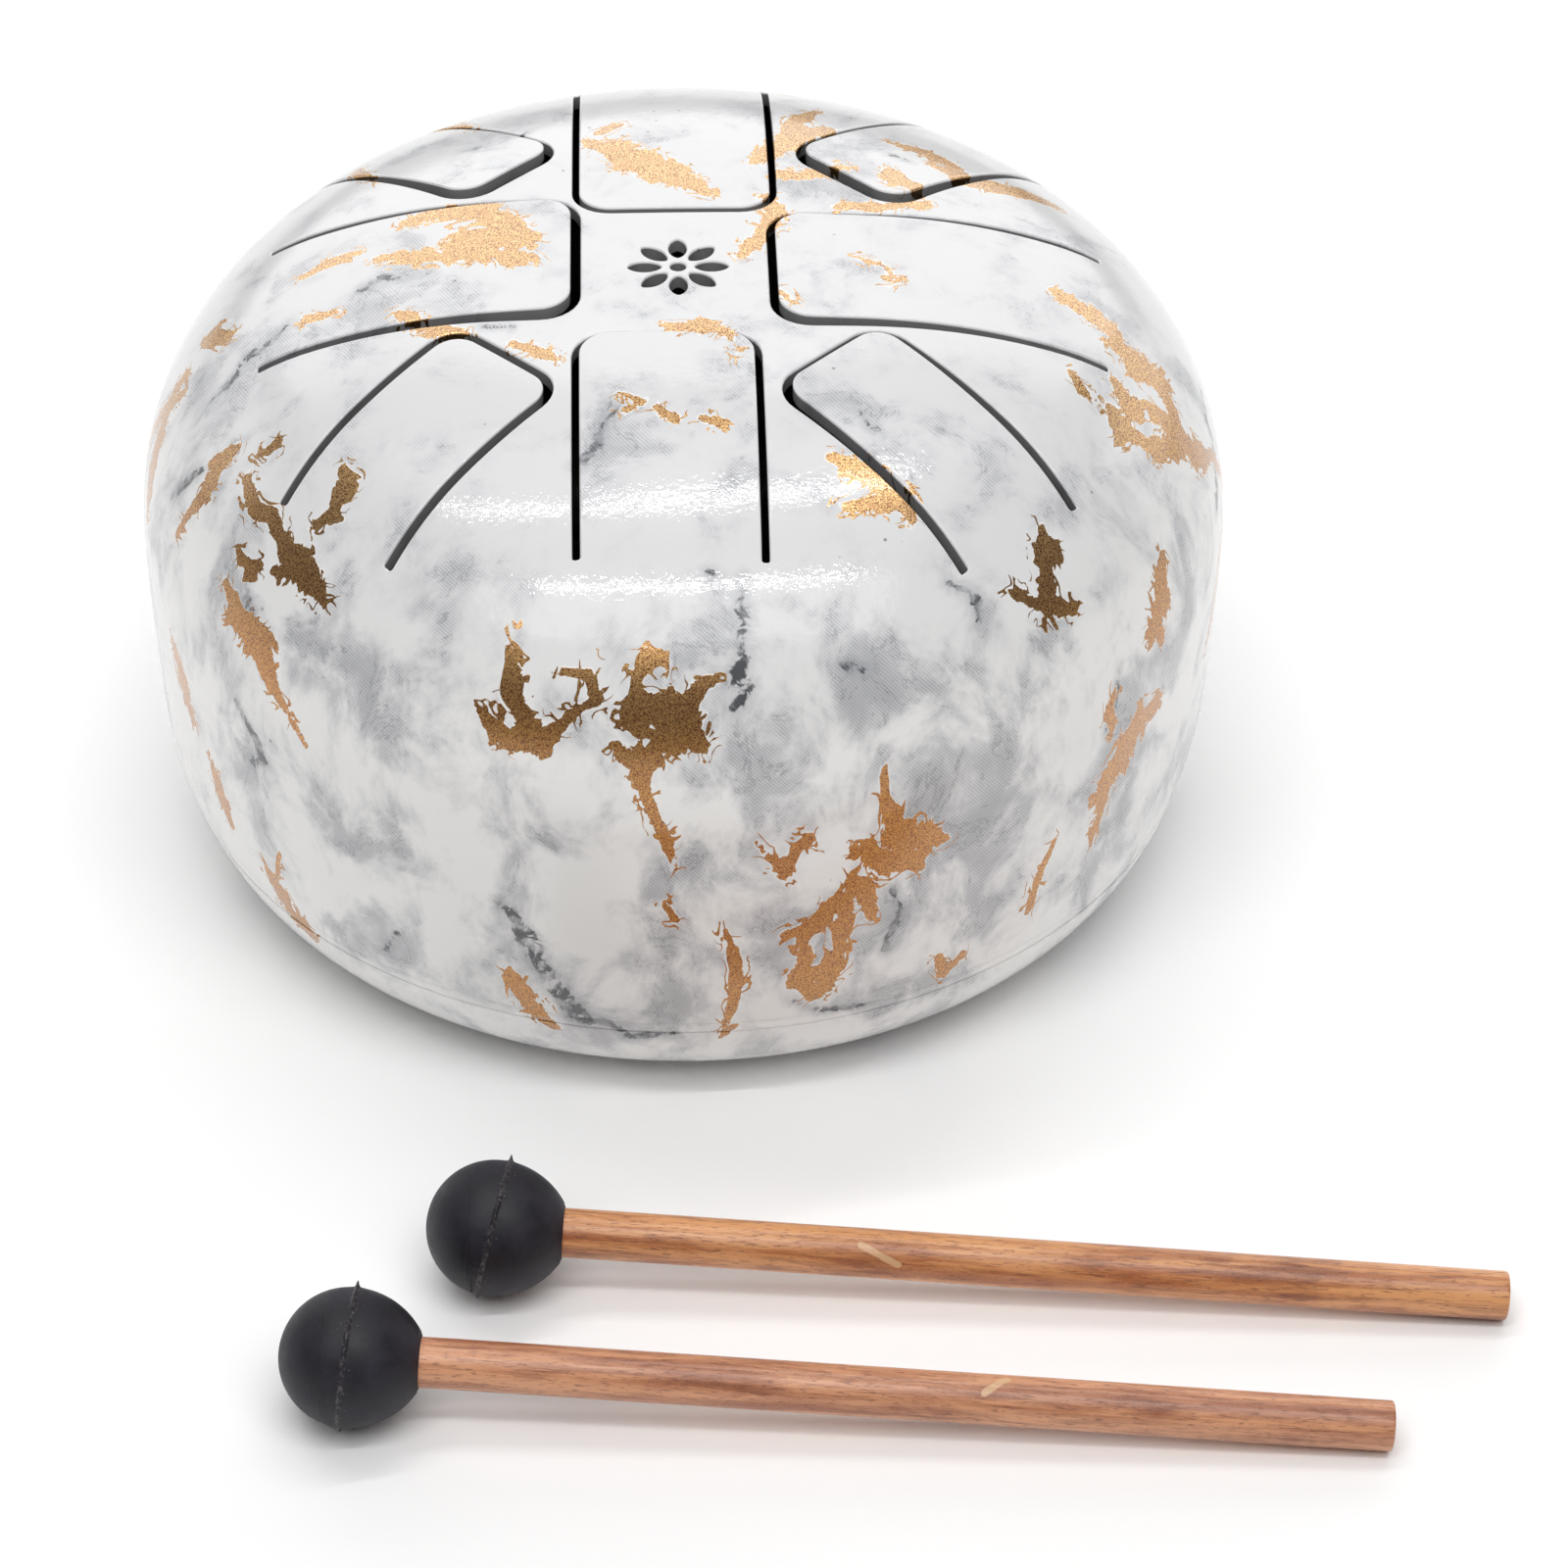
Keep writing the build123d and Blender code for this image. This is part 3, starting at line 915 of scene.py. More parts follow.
# Strokes through places on the skin: azimuth, reach and half width in millimetres.
GOLD = [
    # the left tongue
    [(170, 22, 2.0), (168, 25, 3.4), (171, 30, 3.8)],
    [(160, 25, 1.6), (156, 31, 2.2), (160, 37, 1.8), (163, 41, 0.8)],
    [(177, 28, 2.4), (178, 34, 1.4), (176, 39, 2.0), (175, 43, 0.5)],
    [(-177, 20, 0.8), (180, 24, 2.2)],
    [(172, 46, 0.4), (173, 50, 0.7), (176, 54, 0.4)],
    [(-172, 53, 0.9), (-171, 49, 0.4)],
    # the back tongue
    [(113, 35, 0.8), (107, 31, 2.8), (103, 27, 3.6), (96, 23, 3.0), (86, 20, 1.4), (77, 17, 0.5)],
    [(108, 37, 0.8), (103, 39, 0.6)],
    # right of the middle
    [(52, 20, 0.8), (43, 18, 1.3), (32, 14, 2.2), (20, 11, 1.6), (2, 8, 0.5)],
    [(-36, 16, 0.5), (-40, 19, 0.7)],
    # behind and to the right
    [(67, 28, 0.8), (65, 33, 1.8), (63, 38, 1.5), (60, 43, 1.3)],
    [(65, 37, 1.2), (67, 44, 1.2), (66, 50, 0.6)],
    [(57, 26, 1.1), (50, 29, 1.0), (45, 33, 0.9)],
    [(39, 38, 0.7), (34, 37, 2.2), (30, 38, 1.5)],
    [(31, 26, 0.6), (27, 29, 1.1), (25, 34, 0.8), (24, 38, 0.4)],
    [(37, 46, 0.6), (32, 48, 1.8), (29, 52, 2.1), (27, 57, 1.5), (25, 61, 0.5)],
    [(48, 46, 0.6), (42, 48, 1.3), (36, 49, 1.5)],
    # the right tongue and its root
    [(-2, 24, 0.3), (-6, 28, 0.45), (-12, 30, 0.4), (-16, 29, 0.3)],
    [(-3, 52, 0.8), (-5, 57, 2.0), (-7, 61, 1.6), (-9, 63, 1.0)],
    [(-10, 62, 1.4), (-11, 66, 3.0), (-10, 70, 2.6), (-13, 74, 1.6)],
    [(-17, 63, 0.6), (-19, 67, 1.8), (-16, 71, 1.3), (-14, 76, 1.8), (-15, 81, 0.9)],
    [(-22, 64, 0.6), (-24, 68, 2.1), (-21, 73, 1.6), (-17, 77, 1.5)],
    [(-21, 57, 0.3), (-23, 60, 0.6)],
    # the front right tongue and the wall below it
    [(-67, 48, 0.5), (-64, 51, 1.9), (-62, 55, 1.2), (-60, 58, 1.5), (-61, 61, 0.5)],
    [(-69, 56, 0.4), (-65, 57, 0.8), (-61, 58, 1.3)],
    [(-45, 69, 0.6), (-46, 72, 1.9), (-48, 76, 1.1), (-49, 79, 1.7), (-46, 81, 0.8)],
    [(-53, 74, 0.3), (-51, 77, 0.6), (-49, 79, 1.2)],
    [(-30, 84, 0.5), (-32, 88, 2.0), (-34, 92, 2.3), (-33, 95, 0.6)],
    [(-37, 103, 0.8), (-38, 106, 2.6), (-40, 109, 3.0), (-43, 112, 2.0), (-43, 117, 0.8), (-44, 121, 0.3)],
    [(-34, 105, 1.4), (-39, 107, 2.2)],
    [(-42, 96, 0.4), (-43, 99, 0.9), (-42, 103, 0.3)],
    # the front tongue and the middle
    [(-106, 34, 0.3), (-100, 35, 0.6), (-103, 37, 0.5)],
    [(-97, 36, 0.6), (-93, 38, 0.9)],
    [(-87, 38, 0.4), (-84, 39, 0.6)],
    [(-99, 17, 0.4), (-92, 18, 1.5), (-84, 18, 1.7), (-77, 19, 1.3), (-73, 23, 0.4), (-75, 27, 0.2)],
    # around the front left tongue
    [(-164, 41, 0.6), (-156, 38, 1.4), (-150, 35, 0.7)],
    [(-139, 31, 0.4), (-131, 30, 0.9), (-126, 30, 0.4)],
    [(-140, 61, 0.5), (-138, 63, 1.6), (-138, 66, 0.4)],
    [(-136, 67, 0.4), (-138, 69, 0.9)],
    # the left shoulder
    [(-178, 66, 1.3), (179, 69, 2.0)],
    [(-178, 74, 0.9), (-178, 78, 1.6)],
    [(-177, 79, 1.0), (-175, 83, 2.4), (-172, 88, 2.0), (-170, 93, 0.5)],
    [(-157, 69, 0.4), (-158, 73, 1.6), (-157, 77, 1.5), (-158, 81, 0.7), (-159, 86, 0.2)],
    [(-152, 65, 0.8), (-153, 68, 0.3)],
    # a chain of scraps on the left wall
    [(-152, 71, 0.6), (-148, 73, 1.1), (-145, 72, 0.9), (-141, 74, 1.1), (-137, 75, 1.9), (-133, 77, 1.2)],
    [(-138, 76, 1.2), (-141, 78, 0.3)],
    [(-147, 79, 0.4), (-144, 80, 1.2), (-143, 78, 0.4)],
    [(-147, 84, 0.5), (-144, 87, 2.2), (-140, 88, 2.6), (-138, 91, 1.7), (-136, 94, 0.6), (-132, 99, 0.3)],
    [(-158, 103, 0.7), (-156, 108, 1.8), (-154, 113, 1.0)],
    [(-150, 117, 0.5), (-149, 121, 1.6), (-147, 126, 0.4)],
    [(-141, 128, 0.8), (-139, 133, 2.2), (-136, 138, 1.2)],
    [(-138, 123, 0.2), (-139, 128, 0.5)],
    # front left: a hook with a thin curl
    [(-110, 75, 0.4), (-109, 78, 1.5), (-109, 81, 1.2), (-107, 84, 1.3), (-106, 87, 1.6)],
    [(-112, 84, 0.4), (-109, 87, 1.1), (-106, 87, 1.5)],
    [(-106, 87, 1.4), (-104, 85, 0.7), (-102, 82, 0.3), (-100, 80, 0.7), (-101, 77, 0.4), (-104, 77, 0.3)],
    [(-108, 70, 0.4), (-107, 72, 0.6), (-105, 70, 0.2)],
    # front: loops, a blot and a long tail
    [(-102, 70, 0.5), (-100, 69, 0.5), (-99, 71, 0.6), (-100, 73, 0.6), (-102, 72, 0.4), (-102, 70, 0.5)],
    [(-99, 71, 0.4), (-97, 70, 0.5), (-95, 71, 1.0), (-93, 72, 1.2), (-93, 75, 0.4)],
    [(-97, 72, 0.4), (-95, 74, 1.3), (-96, 78, 0.6), (-95, 81, 1.2)],
    [(-95, 81, 1.3), (-93, 82, 2.8), (-91, 82, 2.4), (-90, 79, 1.2), (-88, 77, 0.4)],
    [(-94, 86, 1.5), (-91, 84, 2.2), (-89, 86, 0.8)],
    [(-98, 86, 0.4), (-96, 88, 0.9), (-94, 86, 1.4), (-93, 89, 0.3)],
    [(-97, 81, 0.3), (-97, 83, 0.6), (-94, 84, 1.2)],
    [(-95, 88, 1.2), (-95, 92, 0.6), (-94, 96, 0.45), (-93, 99, 0.6), (-92, 105, 0.25)],
    [(-93, 111, 0.3), (-92, 114, 0.4)],
    # low on the front
    [(-109, 127, 0.7), (-108, 131, 1.5), (-107, 134, 1.4), (-105, 138, 0.6)],
    [(-87, 116, 0.2), (-86, 122, 0.5), (-86, 128, 0.7), (-87, 137, 0.2)],
    [(-84, 101, 0.2), (-82, 105, 0.6), (-81, 107, 0.7), (-80, 103, 0.8), (-79, 101, 0.8), (-78, 103, 0.2)],
    # front right: a large ragged patch
    [(-71, 92, 0.2), (-71, 97, 0.4), (-70, 101, 1.4), (-69, 104, 3.0), (-66, 106, 1.8), (-64, 107, 0.3)],
    [(-73, 105, 1.6), (-71, 108, 2.2), (-68, 109, 1.6), (-67, 111, 0.4)],
    [(-74, 110, 1.8), (-73, 112, 1.6), (-72, 117, 0.4)],
    [(-75, 113, 1.6), (-78, 117, 1.2), (-81, 118, 0.4)],
    [(-75, 114, 1.4), (-75, 119, 1.0), (-76, 124, 1.2), (-77, 130, 0.8)],
    [(-79, 118, 1.1), (-79, 123, 0.9), (-79, 127, 1.5), (-78, 131, 0.5)],
    [(-79, 126, 1.6), (-76, 126, 1.6)],
    [(-64, 129, 0.4), (-63, 133, 0.9), (-61, 130, 0.4)],
    [(-50, 116, 0.2), (-52, 122, 0.6), (-53, 128, 0.3)],
]
# Islands of bare enamel in the leaf.
BARE = [
    [(170, 34, 1.3), (164, 35, 1.1)],
    [(-99, 27, 0.4), (-101, 28, 0.3)],
    [(-20, 70, 0.5), (-17, 69, 0.4)],
    [(-74, 108, 0.35), (-73, 109, 0.5)],
    [(-75, 115, 0.4), (-76, 116, 0.3)],
    [(-78, 120, 0.9), (-76, 121, 0.7)],
    [(-100.6, 71.1, 0.7)],
    [(-97, 73, 0.4), (-95, 73, 0.3)],
]
# Dark broken veins.
VEINS = [
    [(-176, 35, 0.3), (-175, 39, 0.4), (-178, 42, 0.5), (-175, 45, 0.3)],
    [(-150, 32, 0.3), (-146, 29, 0.4)],
    [(-173, 56, 0.4), (-170, 60, 0.6), (-171, 62, 0.5), (-168, 66, 0.4), (-168, 71, 0.2)],
    [(-107, 36, 0.4), (-105, 37, 0.4), (-107, 40, 0.4), (-106, 44, 0.7), (-108, 48, 0.5)],
    [(-88, 63, 0.2), (-86, 65, 0.4), (-84, 64, 0.4), (-83, 66, 0.5), (-85, 68, 0.4)],
    [(-85, 67, 0.5), (-86, 71, 0.7), (-84, 73, 0.6), (-86, 78, 0.4), (-84, 78, 0.4), (-86, 81, 0.5)],
    [(-91, 71, 0.5), (-91, 74, 0.3)],
    [(-74, 77, 0.3), (-72, 78, 0.4)],
    [(-57, 41, 0.3), (-58, 44, 0.4), (-57, 47, 0.2)],
    [(-60, 70, 0.2), (-57, 73, 0.4), (-58, 77, 0.3)],
    [(-110, 114, 0.3), (-108, 117, 0.8), (-106, 120, 0.5), (-105, 125, 0.5), (-103, 130, 0.6),
     (-101, 135, 0.5)],
    [(-108, 119, 0.8), (-106, 125, 0.5), (-104, 131, 0.7), (-102, 136, 0.6)],
    [(-102, 135, 0.6), (-99, 135, 0.6), (-97, 138, 0.5), (-92, 137, 0.3)],
    [(-160, 76, 0.5), (-162, 80, 0.8), (-163, 83, 0.3)],
    [(-144, 82, 0.6), (-142, 85, 0.6), (-139, 88, 0.7), (-138, 92, 0.4)],
    [(-143, 100, 0.3), (-140, 104, 0.7), (-139, 107, 0.8), (-141, 109, 0.4)],
    [(-41, 93, 0.2), (-42, 98, 0.6), (-43, 102, 0.5)],
    [(-122, 126, 0.2), (-124, 131, 0.4)],
    [(46, 31, 0.4), (42, 34, 0.5), (38, 34, 0.3)],
    [(52, 38, 0.3), (47, 42, 0.4), (40, 43, 0.3)],
    [(120, 44, 0.3), (128, 42, 0.5), (134, 45, 0.3)],
    [(-80, 131, 0.3), (-77, 134, 0.5), (-72, 135, 0.3)],
    [(-70, 113, 0.3), (-69, 118, 0.5), (-70, 124, 0.4)],
]
# Soft grey clouds.
CLOUDS = [
    [(-107, 83, 4), (-103, 86, 5), (-106, 92, 3)],
    [(-88, 70, 5), (-86, 78, 6), (-88, 88, 5)],
    [(-70, 80, 4), (-66, 84, 3)],
    [(-70, 92, 2), (-69, 110, 5), (-72, 125, 6), (-66, 132, 5)],
    [(-93, 104, 2), (-93, 118, 3), (-91, 134, 5)],
    [(-107, 112, 2), (-106, 124, 4), (-101, 136, 5)],
    [(-58, 96, 3), (-57, 106, 3), (-60, 124, 4)],
    [(-50, 95, 3), (-52, 103, 3)],
    [(-130, 84, 7), (-126, 90, 5)],
    [(-131, 100, 2), (-130, 114, 3)],
    [(-143, 96, 2), (-140, 106, 3), (-142, 120, 2)],
    [(-122, 122, 2), (-124, 132, 3)],
    [(-142, 84, 4), (-150, 76, 4)],
    [(175, 40, 5), (-172, 44, 5)],
    [(-168, 60, 5), (-164, 70, 5)],
    [(-106, 42, 4), (-104, 54, 3)],
    [(-82, 30, 3), (-86, 44, 3)],
    [(-60, 42, 4), (-52, 50, 4)],
    [(-44, 56, 5), (-38, 66, 5)],
    [(-28, 66, 4), (-34, 78, 5)],
    [(44, 34, 6), (52, 42, 5)],
    [(20, 48, 5), (8, 62, 5)],
    [(75, 42, 4), (60, 36, 4)],
    [(128, 44, 6), (140, 40, 5)],
    [(-30, 100, 5), (-42, 98, 4), (-40, 120, 4)],
    [(-45, 14, 4), (-120, 14, 3)],
]


def scattered(seed, count, width, length):
    """Wandering strokes over the back of the drum, which the front's strokes leave bare."""
    rng = random.Random(seed)
    strokes = []
    for _ in range(count):
        azimuth, reach = rng.uniform(-20, 200), rng.uniform(58, 138)
        if reach < 84 and not 35 < azimuth < 170:
            reach += 30
        heading = rng.uniform(0, 2 * pi)
        stroke = [(azimuth, reach, 0.3 * width)]
        for _ in range(rng.randint(2, 5)):
            heading += rng.uniform(-1.1, 1.1)
            azimuth += length * cos(heading) * 0.75
            reach += length * sin(heading) * 1.3
            stroke.append((azimuth, reach, width * rng.uniform(0.4, 1.3)))
        stroke.append((azimuth + 2 * cos(heading), reach + 4 * sin(heading), 0.1 * width))
        strokes.append(stroke)
    return strokes


def stroke_field(points, strokes):
    """How far inside the nearest stroke each point lies, in millimetres, negative outside,
    and that stroke's half width there."""
    best = np.full(len(points), -12.0)
    widths = np.zeros(len(points))
    for stroke in strokes:
        places = [(paint_place(azimuth, reach), half_width) for azimuth, reach, half_width in stroke]
        for (a, width_a), (b, width_b) in zip(places, places[1:] or places):
            along = b - a
            middle = (a + b) / 2
            spread = np.linalg.norm(along) / 2 + max(width_a, width_b) + 12
            near = np.flatnonzero(np.abs(points - middle).max(1) < spread)
            t = np.clip((points[near] - a) @ along / max(along @ along, 1e-9), 0, 1)
            distance = np.linalg.norm(points[near] - a - t[:, None] * along, axis=1)
            width = width_a + (width_b - width_a) * t
            better = width - distance > best[near]
            best[near[better]] = (width - distance)[better]
            widths[near[better]] = width[better]
    return best, widths


def paint(piece):
    """Store the painted fields on a mesh, one number at each vertex for each field."""
    mesh = piece.data
    points = np.zeros(len(mesh.vertices) * 3)
    mesh.vertices.foreach_get("co", points)
    points = points.reshape(-1, 3) / MM
    gold, gold_width = stroke_field(points, ALL_GOLD)
    fields = {
        "gold": np.minimum(gold, -stroke_field(points, BARE)[0]),
        "gold_width": gold_width,
        "vein": stroke_field(points, ALL_VEINS)[0],
        "cloud": stroke_field(points, ALL_CLOUDS)[0],
    }
    for name, values in fields.items():
        attribute = mesh.attributes.new(name, "FLOAT", "POINT")
        attribute.data.foreach_set("value", values.astype(np.float32))


ALL_GOLD = GOLD + scattered("gold", 26, 1.7, 4.0)
ALL_VEINS = VEINS + scattered("veins", 16, 0.5, 3.5)
ALL_CLOUDS = CLOUDS + scattered("clouds", 14, 4.0, 8.0)


def marble_paint(name, shade=1.0):
    """White enamel printed with grey clouds, dark veins and gold leaf under clear lacquer, with some light
    and shade painted in: the enamel whiter on the walls than on the top, the gold paler on the top, and a
    shade below one darkening the whole paint as painted shade.
    """
    g = Graph(name)
    x, y, z = g.split(g.coords)
    drawn = g.join(x, y, g.math("MULTIPLY", z, 0.72))
    wander = g.vector("SUBTRACT", g.noise(70, 1, 0.5, colour=True), (0.5, 0.5, 0.5))
    warped = g.vector("ADD", drawn, g.vector("SCALE", wander, 0.006))

    def centred(value, size):
        """Noise about zero, of a size in millimetres."""
        return g.math("MULTIPLY", g.math("SUBTRACT", value, 0.5), size)

    broad = g.noise(20, 2, 0.5, 0.3, warped)
    mottle = g.math("ADD", g.noise(96, 6, 0.62, 0.2, warped), centred(broad, 0.16))
    clouded = g.math("ADD", mottle, g.step(g.attribute("cloud"), -6, 3, 0.0, 0.085))
    # Painted light and shade: the enamel is given whiter on the walls, to make up for light they lack, and
    # greyer on the top, where the lamps light it strongly.
    pale = g.mix(g.step(z, 0.060, 0.088), srgb(247, 246, 244), srgb(217, 217, 218))
    white = g.mix(g.step(clouded, 0.44, 0.66), pale, srgb(209, 209, 211))
    white = g.mix(g.step(clouded, 0.59, 0.76, 0.0, 0.45), white, srgb(164, 165, 169))

    crack = g.math("ABSOLUTE", g.math("SUBTRACT", g.noise(120, 6, 0.68, 0.6, warped), 0.5))
    line = g.math("MULTIPLY", g.step(crack, 0.016, 0.0), g.step(clouded, 0.54, 0.64))
    white = g.mix(g.math("MULTIPLY", line, 0.45), white, srgb(104, 106, 113))

    vein = g.math("ADD", g.attribute("vein"), centred(g.noise(330, 5, 0.72, 1.0, warped), 3.8))
    white = g.mix(g.step(vein, -1.7, 0.2, 0.0, 0.35), white, srgb(140, 143, 150))
    broken = g.step(g.noise(300, 3, 0.6), 0.38, 0.56, 0.3, 0.9)
    ink = g.math("MULTIPLY", g.step(vein, -0.25, 0.15), broken)
    white = g.mix(ink, white, srgb(44, 46, 52))

    specks = g.math("MULTIPLY", g.step(g.cells(260), 0.085, 0.05), g.step(g.noise(90, 1), 0.60, 0.66))
    white = g.mix(g.math("MULTIPLY", specks, 0.7), white, srgb(88, 84, 80))

    slant = g.math("ADD", x, g.math("ADD", g.math("MULTIPLY", y, 0.6), g.math("MULTIPLY", z, 0.9)))
    hatch = g.math("SINE", g.math("MULTIPLY", slant, 2 * pi / (0.58 * MM)))
    printed = g.math("MULTIPLY", g.step(hatch, -0.4, 0.9), g.step(clouded, 0.52, 0.66, 0.0, 0.42))
    white = g.mix(printed, white, srgb(142, 144, 149))

    # Wide scraps are torn more than thin tails, and fine tendrils run out from them.
    torn = g.math("MINIMUM", g.math("MULTIPLY_ADD", g.attribute("gold_width"), 2.9, 0.5), 8.0)
    ragged = centred(g.noise(215, 3, 0.55, 1.6, warped), torn)
    tendril = g.math("ABSOLUTE", g.math("SUBTRACT", g.noise(190, 2, 0.5, 1.2, warped), 0.5))
    reached = g.step(g.attribute("gold"), -2.6, -0.6)
    threads = g.math("MULTIPLY", g.step(tendril, 0.030, 0.0), g.math("MULTIPLY", reached, 2.6))
    leaf = g.math("ADD", g.math("ADD", g.attribute("gold"), ragged), threads)
    gold = g.step(leaf, -0.30, -0.22)
    outline = g.step(leaf, -0.52, -0.44)
    white = g.mix(g.math("MULTIPLY", outline, 0.5), white, srgb(246, 246, 244))

    speckle = g.noise(4600, 2, 0.7)
    # Painted light: the gold is given paler on the top, where it catches the bright lamps, and deeper on
    # the walls, where it faces darker surroundings.
    light = g.mix(g.step(z, 0.060, 0.088), srgb(211, 156, 88), srgb(250, 206, 144))
    gold_colour = g.mix(g.step(speckle, 0.36, 0.60), srgb(128, 76, 52), light)
    colour = g.mix(gold, white, gold_colour)
    # Painted shade: the same paint darkened all over, for faces in slots and recesses where little light
    # reaches.
    if shade < 1.0:
        colour = g.mix(1.0, colour, (shade, shade, shade, 1.0), "MULTIPLY")

    relief = g.math("ADD", g.math("MULTIPLY", outline, 0.4), g.math("MULTIPLY", speckle, gold))
    normal = g.bump(relief, 0.04, 0.7)
    coat = g.bump(g.noise(1250, 2, 0.5), 0.042, 1.0)
    rough = g.math("ADD", g.step(gold, 0, 1, 0.34, 0.30), g.math("MULTIPLY", speckle, 0.06))
    return g.finish(
        Base_Color=colour, Metallic=g.math("MULTIPLY", gold, 0.94), Roughness=rough, Normal=normal,
        Specular_IOR_Level=0.3, Coat_Weight=0.8, Coat_Roughness=0.05, Coat_Normal=coat,
    )


def dark_inside():
    """Bare inner steel with a thin uneven wash of grey primer."""
    g = Graph("inside_steel")
    wash = g.step(g.noise(90, 4, 0.6), 0.35, 0.7)
    colour = g.mix(wash, srgb(58, 56, 55), srgb(96, 94, 92))
    rough = g.step(g.noise(400, 3, 0.5), 0.3, 0.7, 0.45, 0.65)
    return g.finish(Base_Color=colour, Metallic=0.5, Roughness=rough, Normal=g.bump(g.noise(1500, 2), 0.03))


def rubber(name, lean=None):
    """Matte black rubber with a fine mould texture, dusty along a leaning fin if it has one."""
    g = Graph(name, own_place=True)
    colour = g.mix(g.step(g.noise(180, 4, 0.6), 0.3, 0.75), srgb(20, 18, 26), srgb(41, 38, 49))
    if lean is not None:
        slope = tan(radians(lean))
        fin_plane = (-slope * cos(FIN_TOP), -slope * sin(FIN_TOP), 1.0)
        off = g.math("ABSOLUTE", g.vector("DOT_PRODUCT", g.coords, fin_plane))
        near = g.step(off, 0.0020, 0.0002, 0.12, 1.0)
        rare = g.step(g.noise(420, 2), 0.42, 0.56)
        dust = g.math("MULTIPLY", g.step(g.cells(1500), 0.20, 0.10), g.math("MULTIPLY", rare, near))
        crumbs = g.math("MULTIPLY", g.step(off, 0.0006, 0.0001), g.step(g.noise(1700, 3, 0.7), 0.46, 0.62))
        colour = g.mix(g.math("MULTIPLY", crumbs, 0.5), colour, srgb(112, 106, 104))
        colour = g.mix(g.math("MULTIPLY", dust, 0.5), colour, srgb(142, 132, 124))
    rough = g.step(g.noise(350, 4, 0.6), 0.25, 0.75, 0.46, 0.62)
    grain = g.bump(g.noise(2600, 3, 0.6), 0.035, 0.7)
    return g.finish(Base_Color=colour, Roughness=rough, Normal=grain, Specular_IOR_Level=0.4)


def wood(name, pale, deep, dark, seed, mark):
    """Stained straight-grained wood under satin varnish, with one short pale nick."""
    g = Graph(name, own_place=True)
    x, y, z = g.split(g.coords)
    sway = g.math("MULTIPLY", g.math("SUBTRACT", g.noise(30, 2), 0.5), 0.003)
    side = g.math("ADD", x, g.math("ADD", sway, seed))
    depth = g.math("ADD", y, sway)

    def along_grain(stretch):
        """Coordinates drawn out along the stick."""
        return g.join(side, depth, g.math("MULTIPLY", z, stretch))

    patches = g.noise(130, 4, 0.6, 0.3, along_grain(0.35))
    bands = g.noise(520, 5, 0.65, 0.3, along_grain(0.05))
    blend = g.math("ADD", g.math("MULTIPLY", bands, 0.7), g.math("MULTIPLY", patches, 0.3))
    colour = g.mix(g.step(blend, 0.42, 0.60), pale, deep)
    stain = g.math("ADD", g.math("MULTIPLY", patches, 0.7), g.math("MULTIPLY", bands, 0.3))
    stain = g.step(stain, 0.55, 0.66)
    colour = g.mix(g.math("MULTIPLY", stain, 0.5), colour, dark)
    streaks = g.noise(1700, 4, 0.7, 0.0, along_grain(0.06))
    colour = g.mix(g.step(streaks, 0.52, 0.68, 0.0, 0.45), colour, dark)
    pores = g.step(g.noise(4200, 2, 0.6, 0.0, along_grain(0.14)), 0.56, 0.68)
    colour = g.mix(g.math("MULTIPLY", pores, 0.55), colour, dark)
    flecks = g.step(g.noise(5200, 1, 0.5, 0.0, along_grain(0.5)), 0.60, 0.70)
    colour = g.mix(g.math("MULTIPLY", flecks, 0.25), colour, pale)

    start, end = (Vector(place) * MM for place in mark)
    run = end - start
    from_start = g.vector("SUBTRACT", g.coords, tuple(start))
    part = g.math("DIVIDE", g.vector("DOT_PRODUCT", from_start, tuple(run)), run.dot(run), clamp=True)
    nearest = g.join(*(g.math("MULTIPLY", part, c) for c in run))
    gap = g.vector("LENGTH", g.vector("SUBTRACT", from_start, nearest))
    wobble = g.math("MULTIPLY", g.math("SUBTRACT", g.noise(900, 2), 0.5), 0.0003)
    nick = g.step(g.math("ADD", gap, wobble), 0.00062, 0.00036)
    colour = g.mix(g.math("MULTIPLY", nick, 0.7), colour, srgb(226, 186, 142))

    rough = g.math("ADD", 0.30, g.math("MULTIPLY", streaks, 0.2))
    depth_map = g.math("SUBTRACT", g.math("SUBTRACT", streaks, g.math("MULTIPLY", pores, 0.6)), nick)
    return g.finish(
        Base_Color=colour, Roughness=rough, Normal=g.bump(depth_map, 0.06, 0.7),
        Coat_Weight=0.35, Coat_Roughness=0.22,
    )


def floor_material():
    """Plain white studio sweep with the faintest mottling."""
    g = Graph("studio_white")
    mottle = g.step(g.noise(6, 3, 0.5), 0.3, 0.7)
    colour = g.mix(mottle, srgb(251, 251, 251), srgb(254, 254, 254))
    return g.finish(Base_Color=colour, Roughness=0.7, Specular_IOR_Level=0.2)


# ---- The pieces, in place --------------------------------------------------------------
SKIN_MATERIAL = marble_paint("marble_enamel")
# Slot walls, cut edges and rims take a darker copy of the enamel, as painted shade.
RIM_PAINTED_SHADE_MATERIAL = marble_paint("marble_enamel_cut_edge_painted_shade", shade=0.36)
INSIDE_MATERIAL = dark_inside()
SHELL_MATERIALS = [SKIN_MATERIAL, RIM_PAINTED_SHADE_MATERIAL, INSIDE_MATERIAL]

top = make_upper(SHELL_MATERIALS)
bottom = {"lower_shell": make_lower(SHELL_MATERIALS), "seam_weld": make_weld(SHELL_MATERIALS)}
for node, piece in {**top, **bottom}.items():
    paint(piece)
    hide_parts(node)
    if not node.startswith("tongue_"):
        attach(piece, "drum")

for name, spec in TONGUES.items():
    split = split_distance(spec)
    height = float(top_height([split])[0][0])
    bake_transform(top[f"tongue_{name}"])

foot_rubber = rubber("foot_rubber")
for node in ("foot_1", "foot_2", "foot_3"):
    piece = make_foot(node, foot_rubber)
    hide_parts(node)
    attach(piece, "drum")

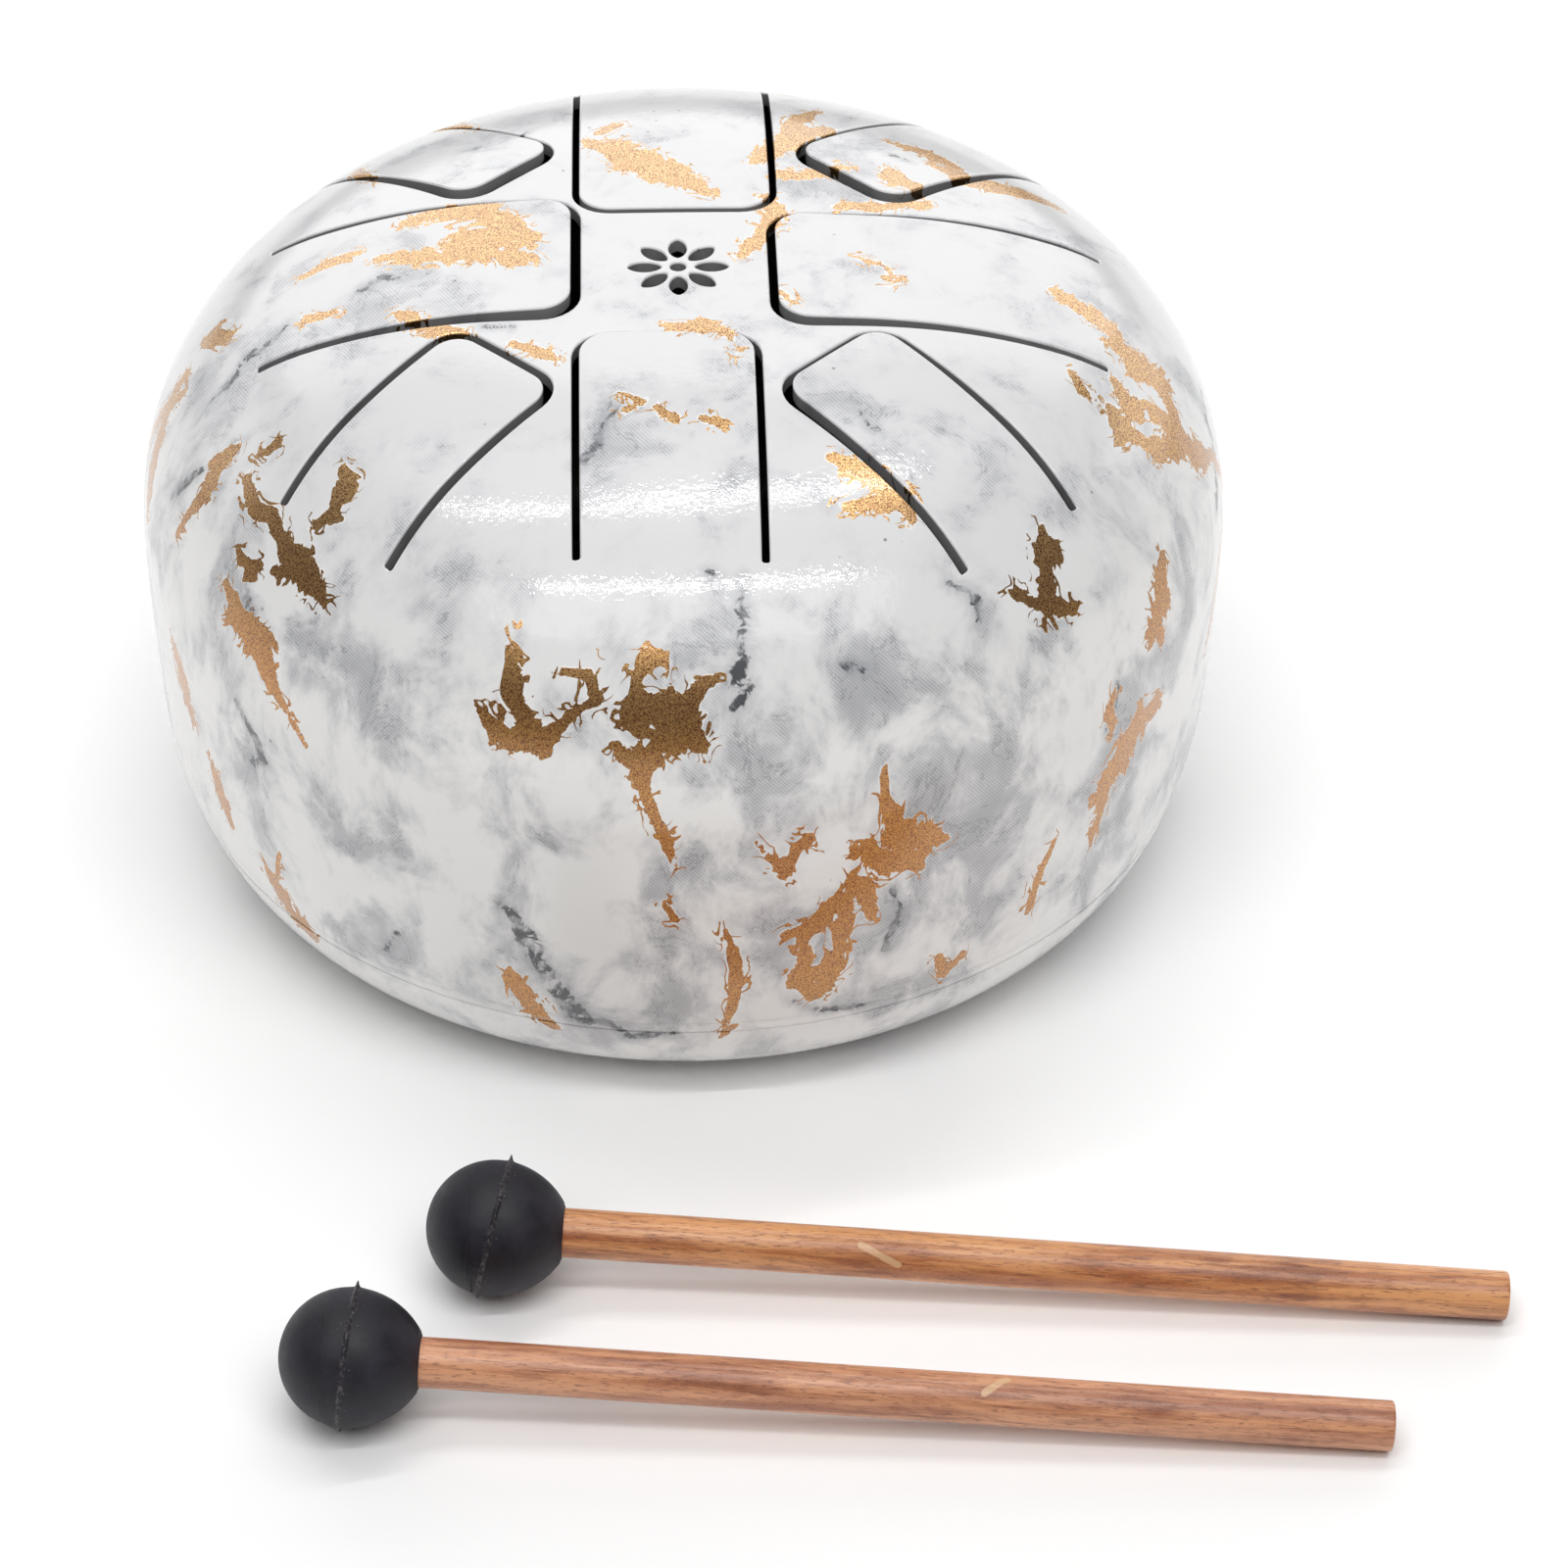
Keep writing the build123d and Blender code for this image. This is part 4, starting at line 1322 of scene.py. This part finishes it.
# Places of each nick in the stick's own frame: its middle line is Z, and -X is up.
FRONT_NICK = ((-3.3, 0.6, 84.4), (-2.9, -1.6, 81.6))
REAR_NICK = ((-2.9, -1.5, 48.5), (-1.2, -3.05, 53.5))
FRONT_TONES = (srgb(218, 156, 116), srgb(168, 106, 74), srgb(104, 54, 38))
REAR_TONES = (srgb(224, 160, 106), srgb(176, 108, 64), srgb(100, 48, 32))
woods = {
    "front_mallet": wood("front_stick_wood", *FRONT_TONES, 0.0, FRONT_NICK),
    "rear_mallet": wood("rear_stick_wood", *REAR_TONES, 0.3, REAR_NICK),
}
for name, spec in MALLETS.items():
    head = make_head(name, rubber(f"{name}_rubber", spec.lean))
    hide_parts(f"{name}_head")
    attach(head, name)
    stick = make_stick(name, woods[name])
    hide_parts(f"{name}_stick")
    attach(stick, name)

# ---- Floor, camera and light -----------------------------------------------------------
def flat_mesh(name, half_width, material):
    """Square level sheet at the floor, divided so that it shades evenly."""
    mesh = bpy.data.meshes.new(name)
    work = bmesh.new()
    bmesh.ops.create_grid(work, x_segments=8, y_segments=8, size=half_width)
    work.to_mesh(mesh)
    work.free()
    mesh.materials.append(material)
    piece = bpy.data.objects.new(name, mesh)
    scene.collection.objects.link(piece)
    return piece


flat_mesh("studio_floor", 3.0, floor_material())

# Where the photo was taken from, in metres and degrees.
CAMERA_PLACE = Vector((-0.00761, -0.54849, 0.44233))
CAMERA_HEADING = -2.342
CAMERA_DOWN = 38.952
CAMERA_ROLL = 0.67

camera_data = bpy.data.cameras.new("photo_camera")
camera_data.lens = 106.8
camera_data.sensor_width = 36.0
camera_data.clip_start = 0.01
camera = bpy.data.objects.new("photo_camera", camera_data)
scene.collection.objects.link(camera)
turned = Matrix.Rotation(radians(CAMERA_HEADING), 4, "Z")
turned @= Matrix.Rotation(radians(90 - CAMERA_DOWN), 4, "X")
turned @= Matrix.Rotation(radians(CAMERA_ROLL), 4, "Z")
camera.matrix_world = Matrix.Translation(CAMERA_PLACE) @ turned
scene.camera = camera


DRUM_MIDDLE = Vector((0, 0, 0.05))


def softbox(name, place, width, height, power):
    """Rectangular studio light aimed at the drum, in metres and watts."""
    data = bpy.data.lights.new(name, "AREA")
    data.shape = "RECTANGLE"
    data.size = width
    data.size_y = height
    data.energy = power
    light = bpy.data.objects.new(name, data)
    light.location = place
    aim = DRUM_MIDDLE - Vector(place)
    light.rotation_euler = aim.to_track_quat("-Z", "Y").to_euler()
    scene.collection.objects.link(light)
    return light


softbox("overhead", (0.0, 0.1, 1.05), 1.3, 0.9, 2.3)
softbox("front_box", (0.0, -0.62, 0.98), 1.5, 0.5, 5.4)
softbox("backdrop", (0.0, 1.05, 0.6), 1.8, 0.8, 7.0)
softbox("shoulder_strip", (-0.04, 0.17, 0.86), 0.84, 0.032, 1.6)
softbox("front_strip", (0.02, -0.33, 0.84), 0.78, 0.032, 1.8)
softbox("left_fill", (-1.05, 0.75, 0.32), 0.8, 0.55, 1.2)
softbox("right_fill", (1.05, 0.75, 0.32), 0.8, 0.55, 1.7)

world = bpy.data.worlds.new("studio")
world.use_nodes = True
world.node_tree.nodes["Background"].inputs["Color"].default_value = (1, 1, 1, 1)
world.node_tree.nodes["Background"].inputs["Strength"].default_value = 0.12
scene.world = world
scene.view_settings.view_transform = "Standard"
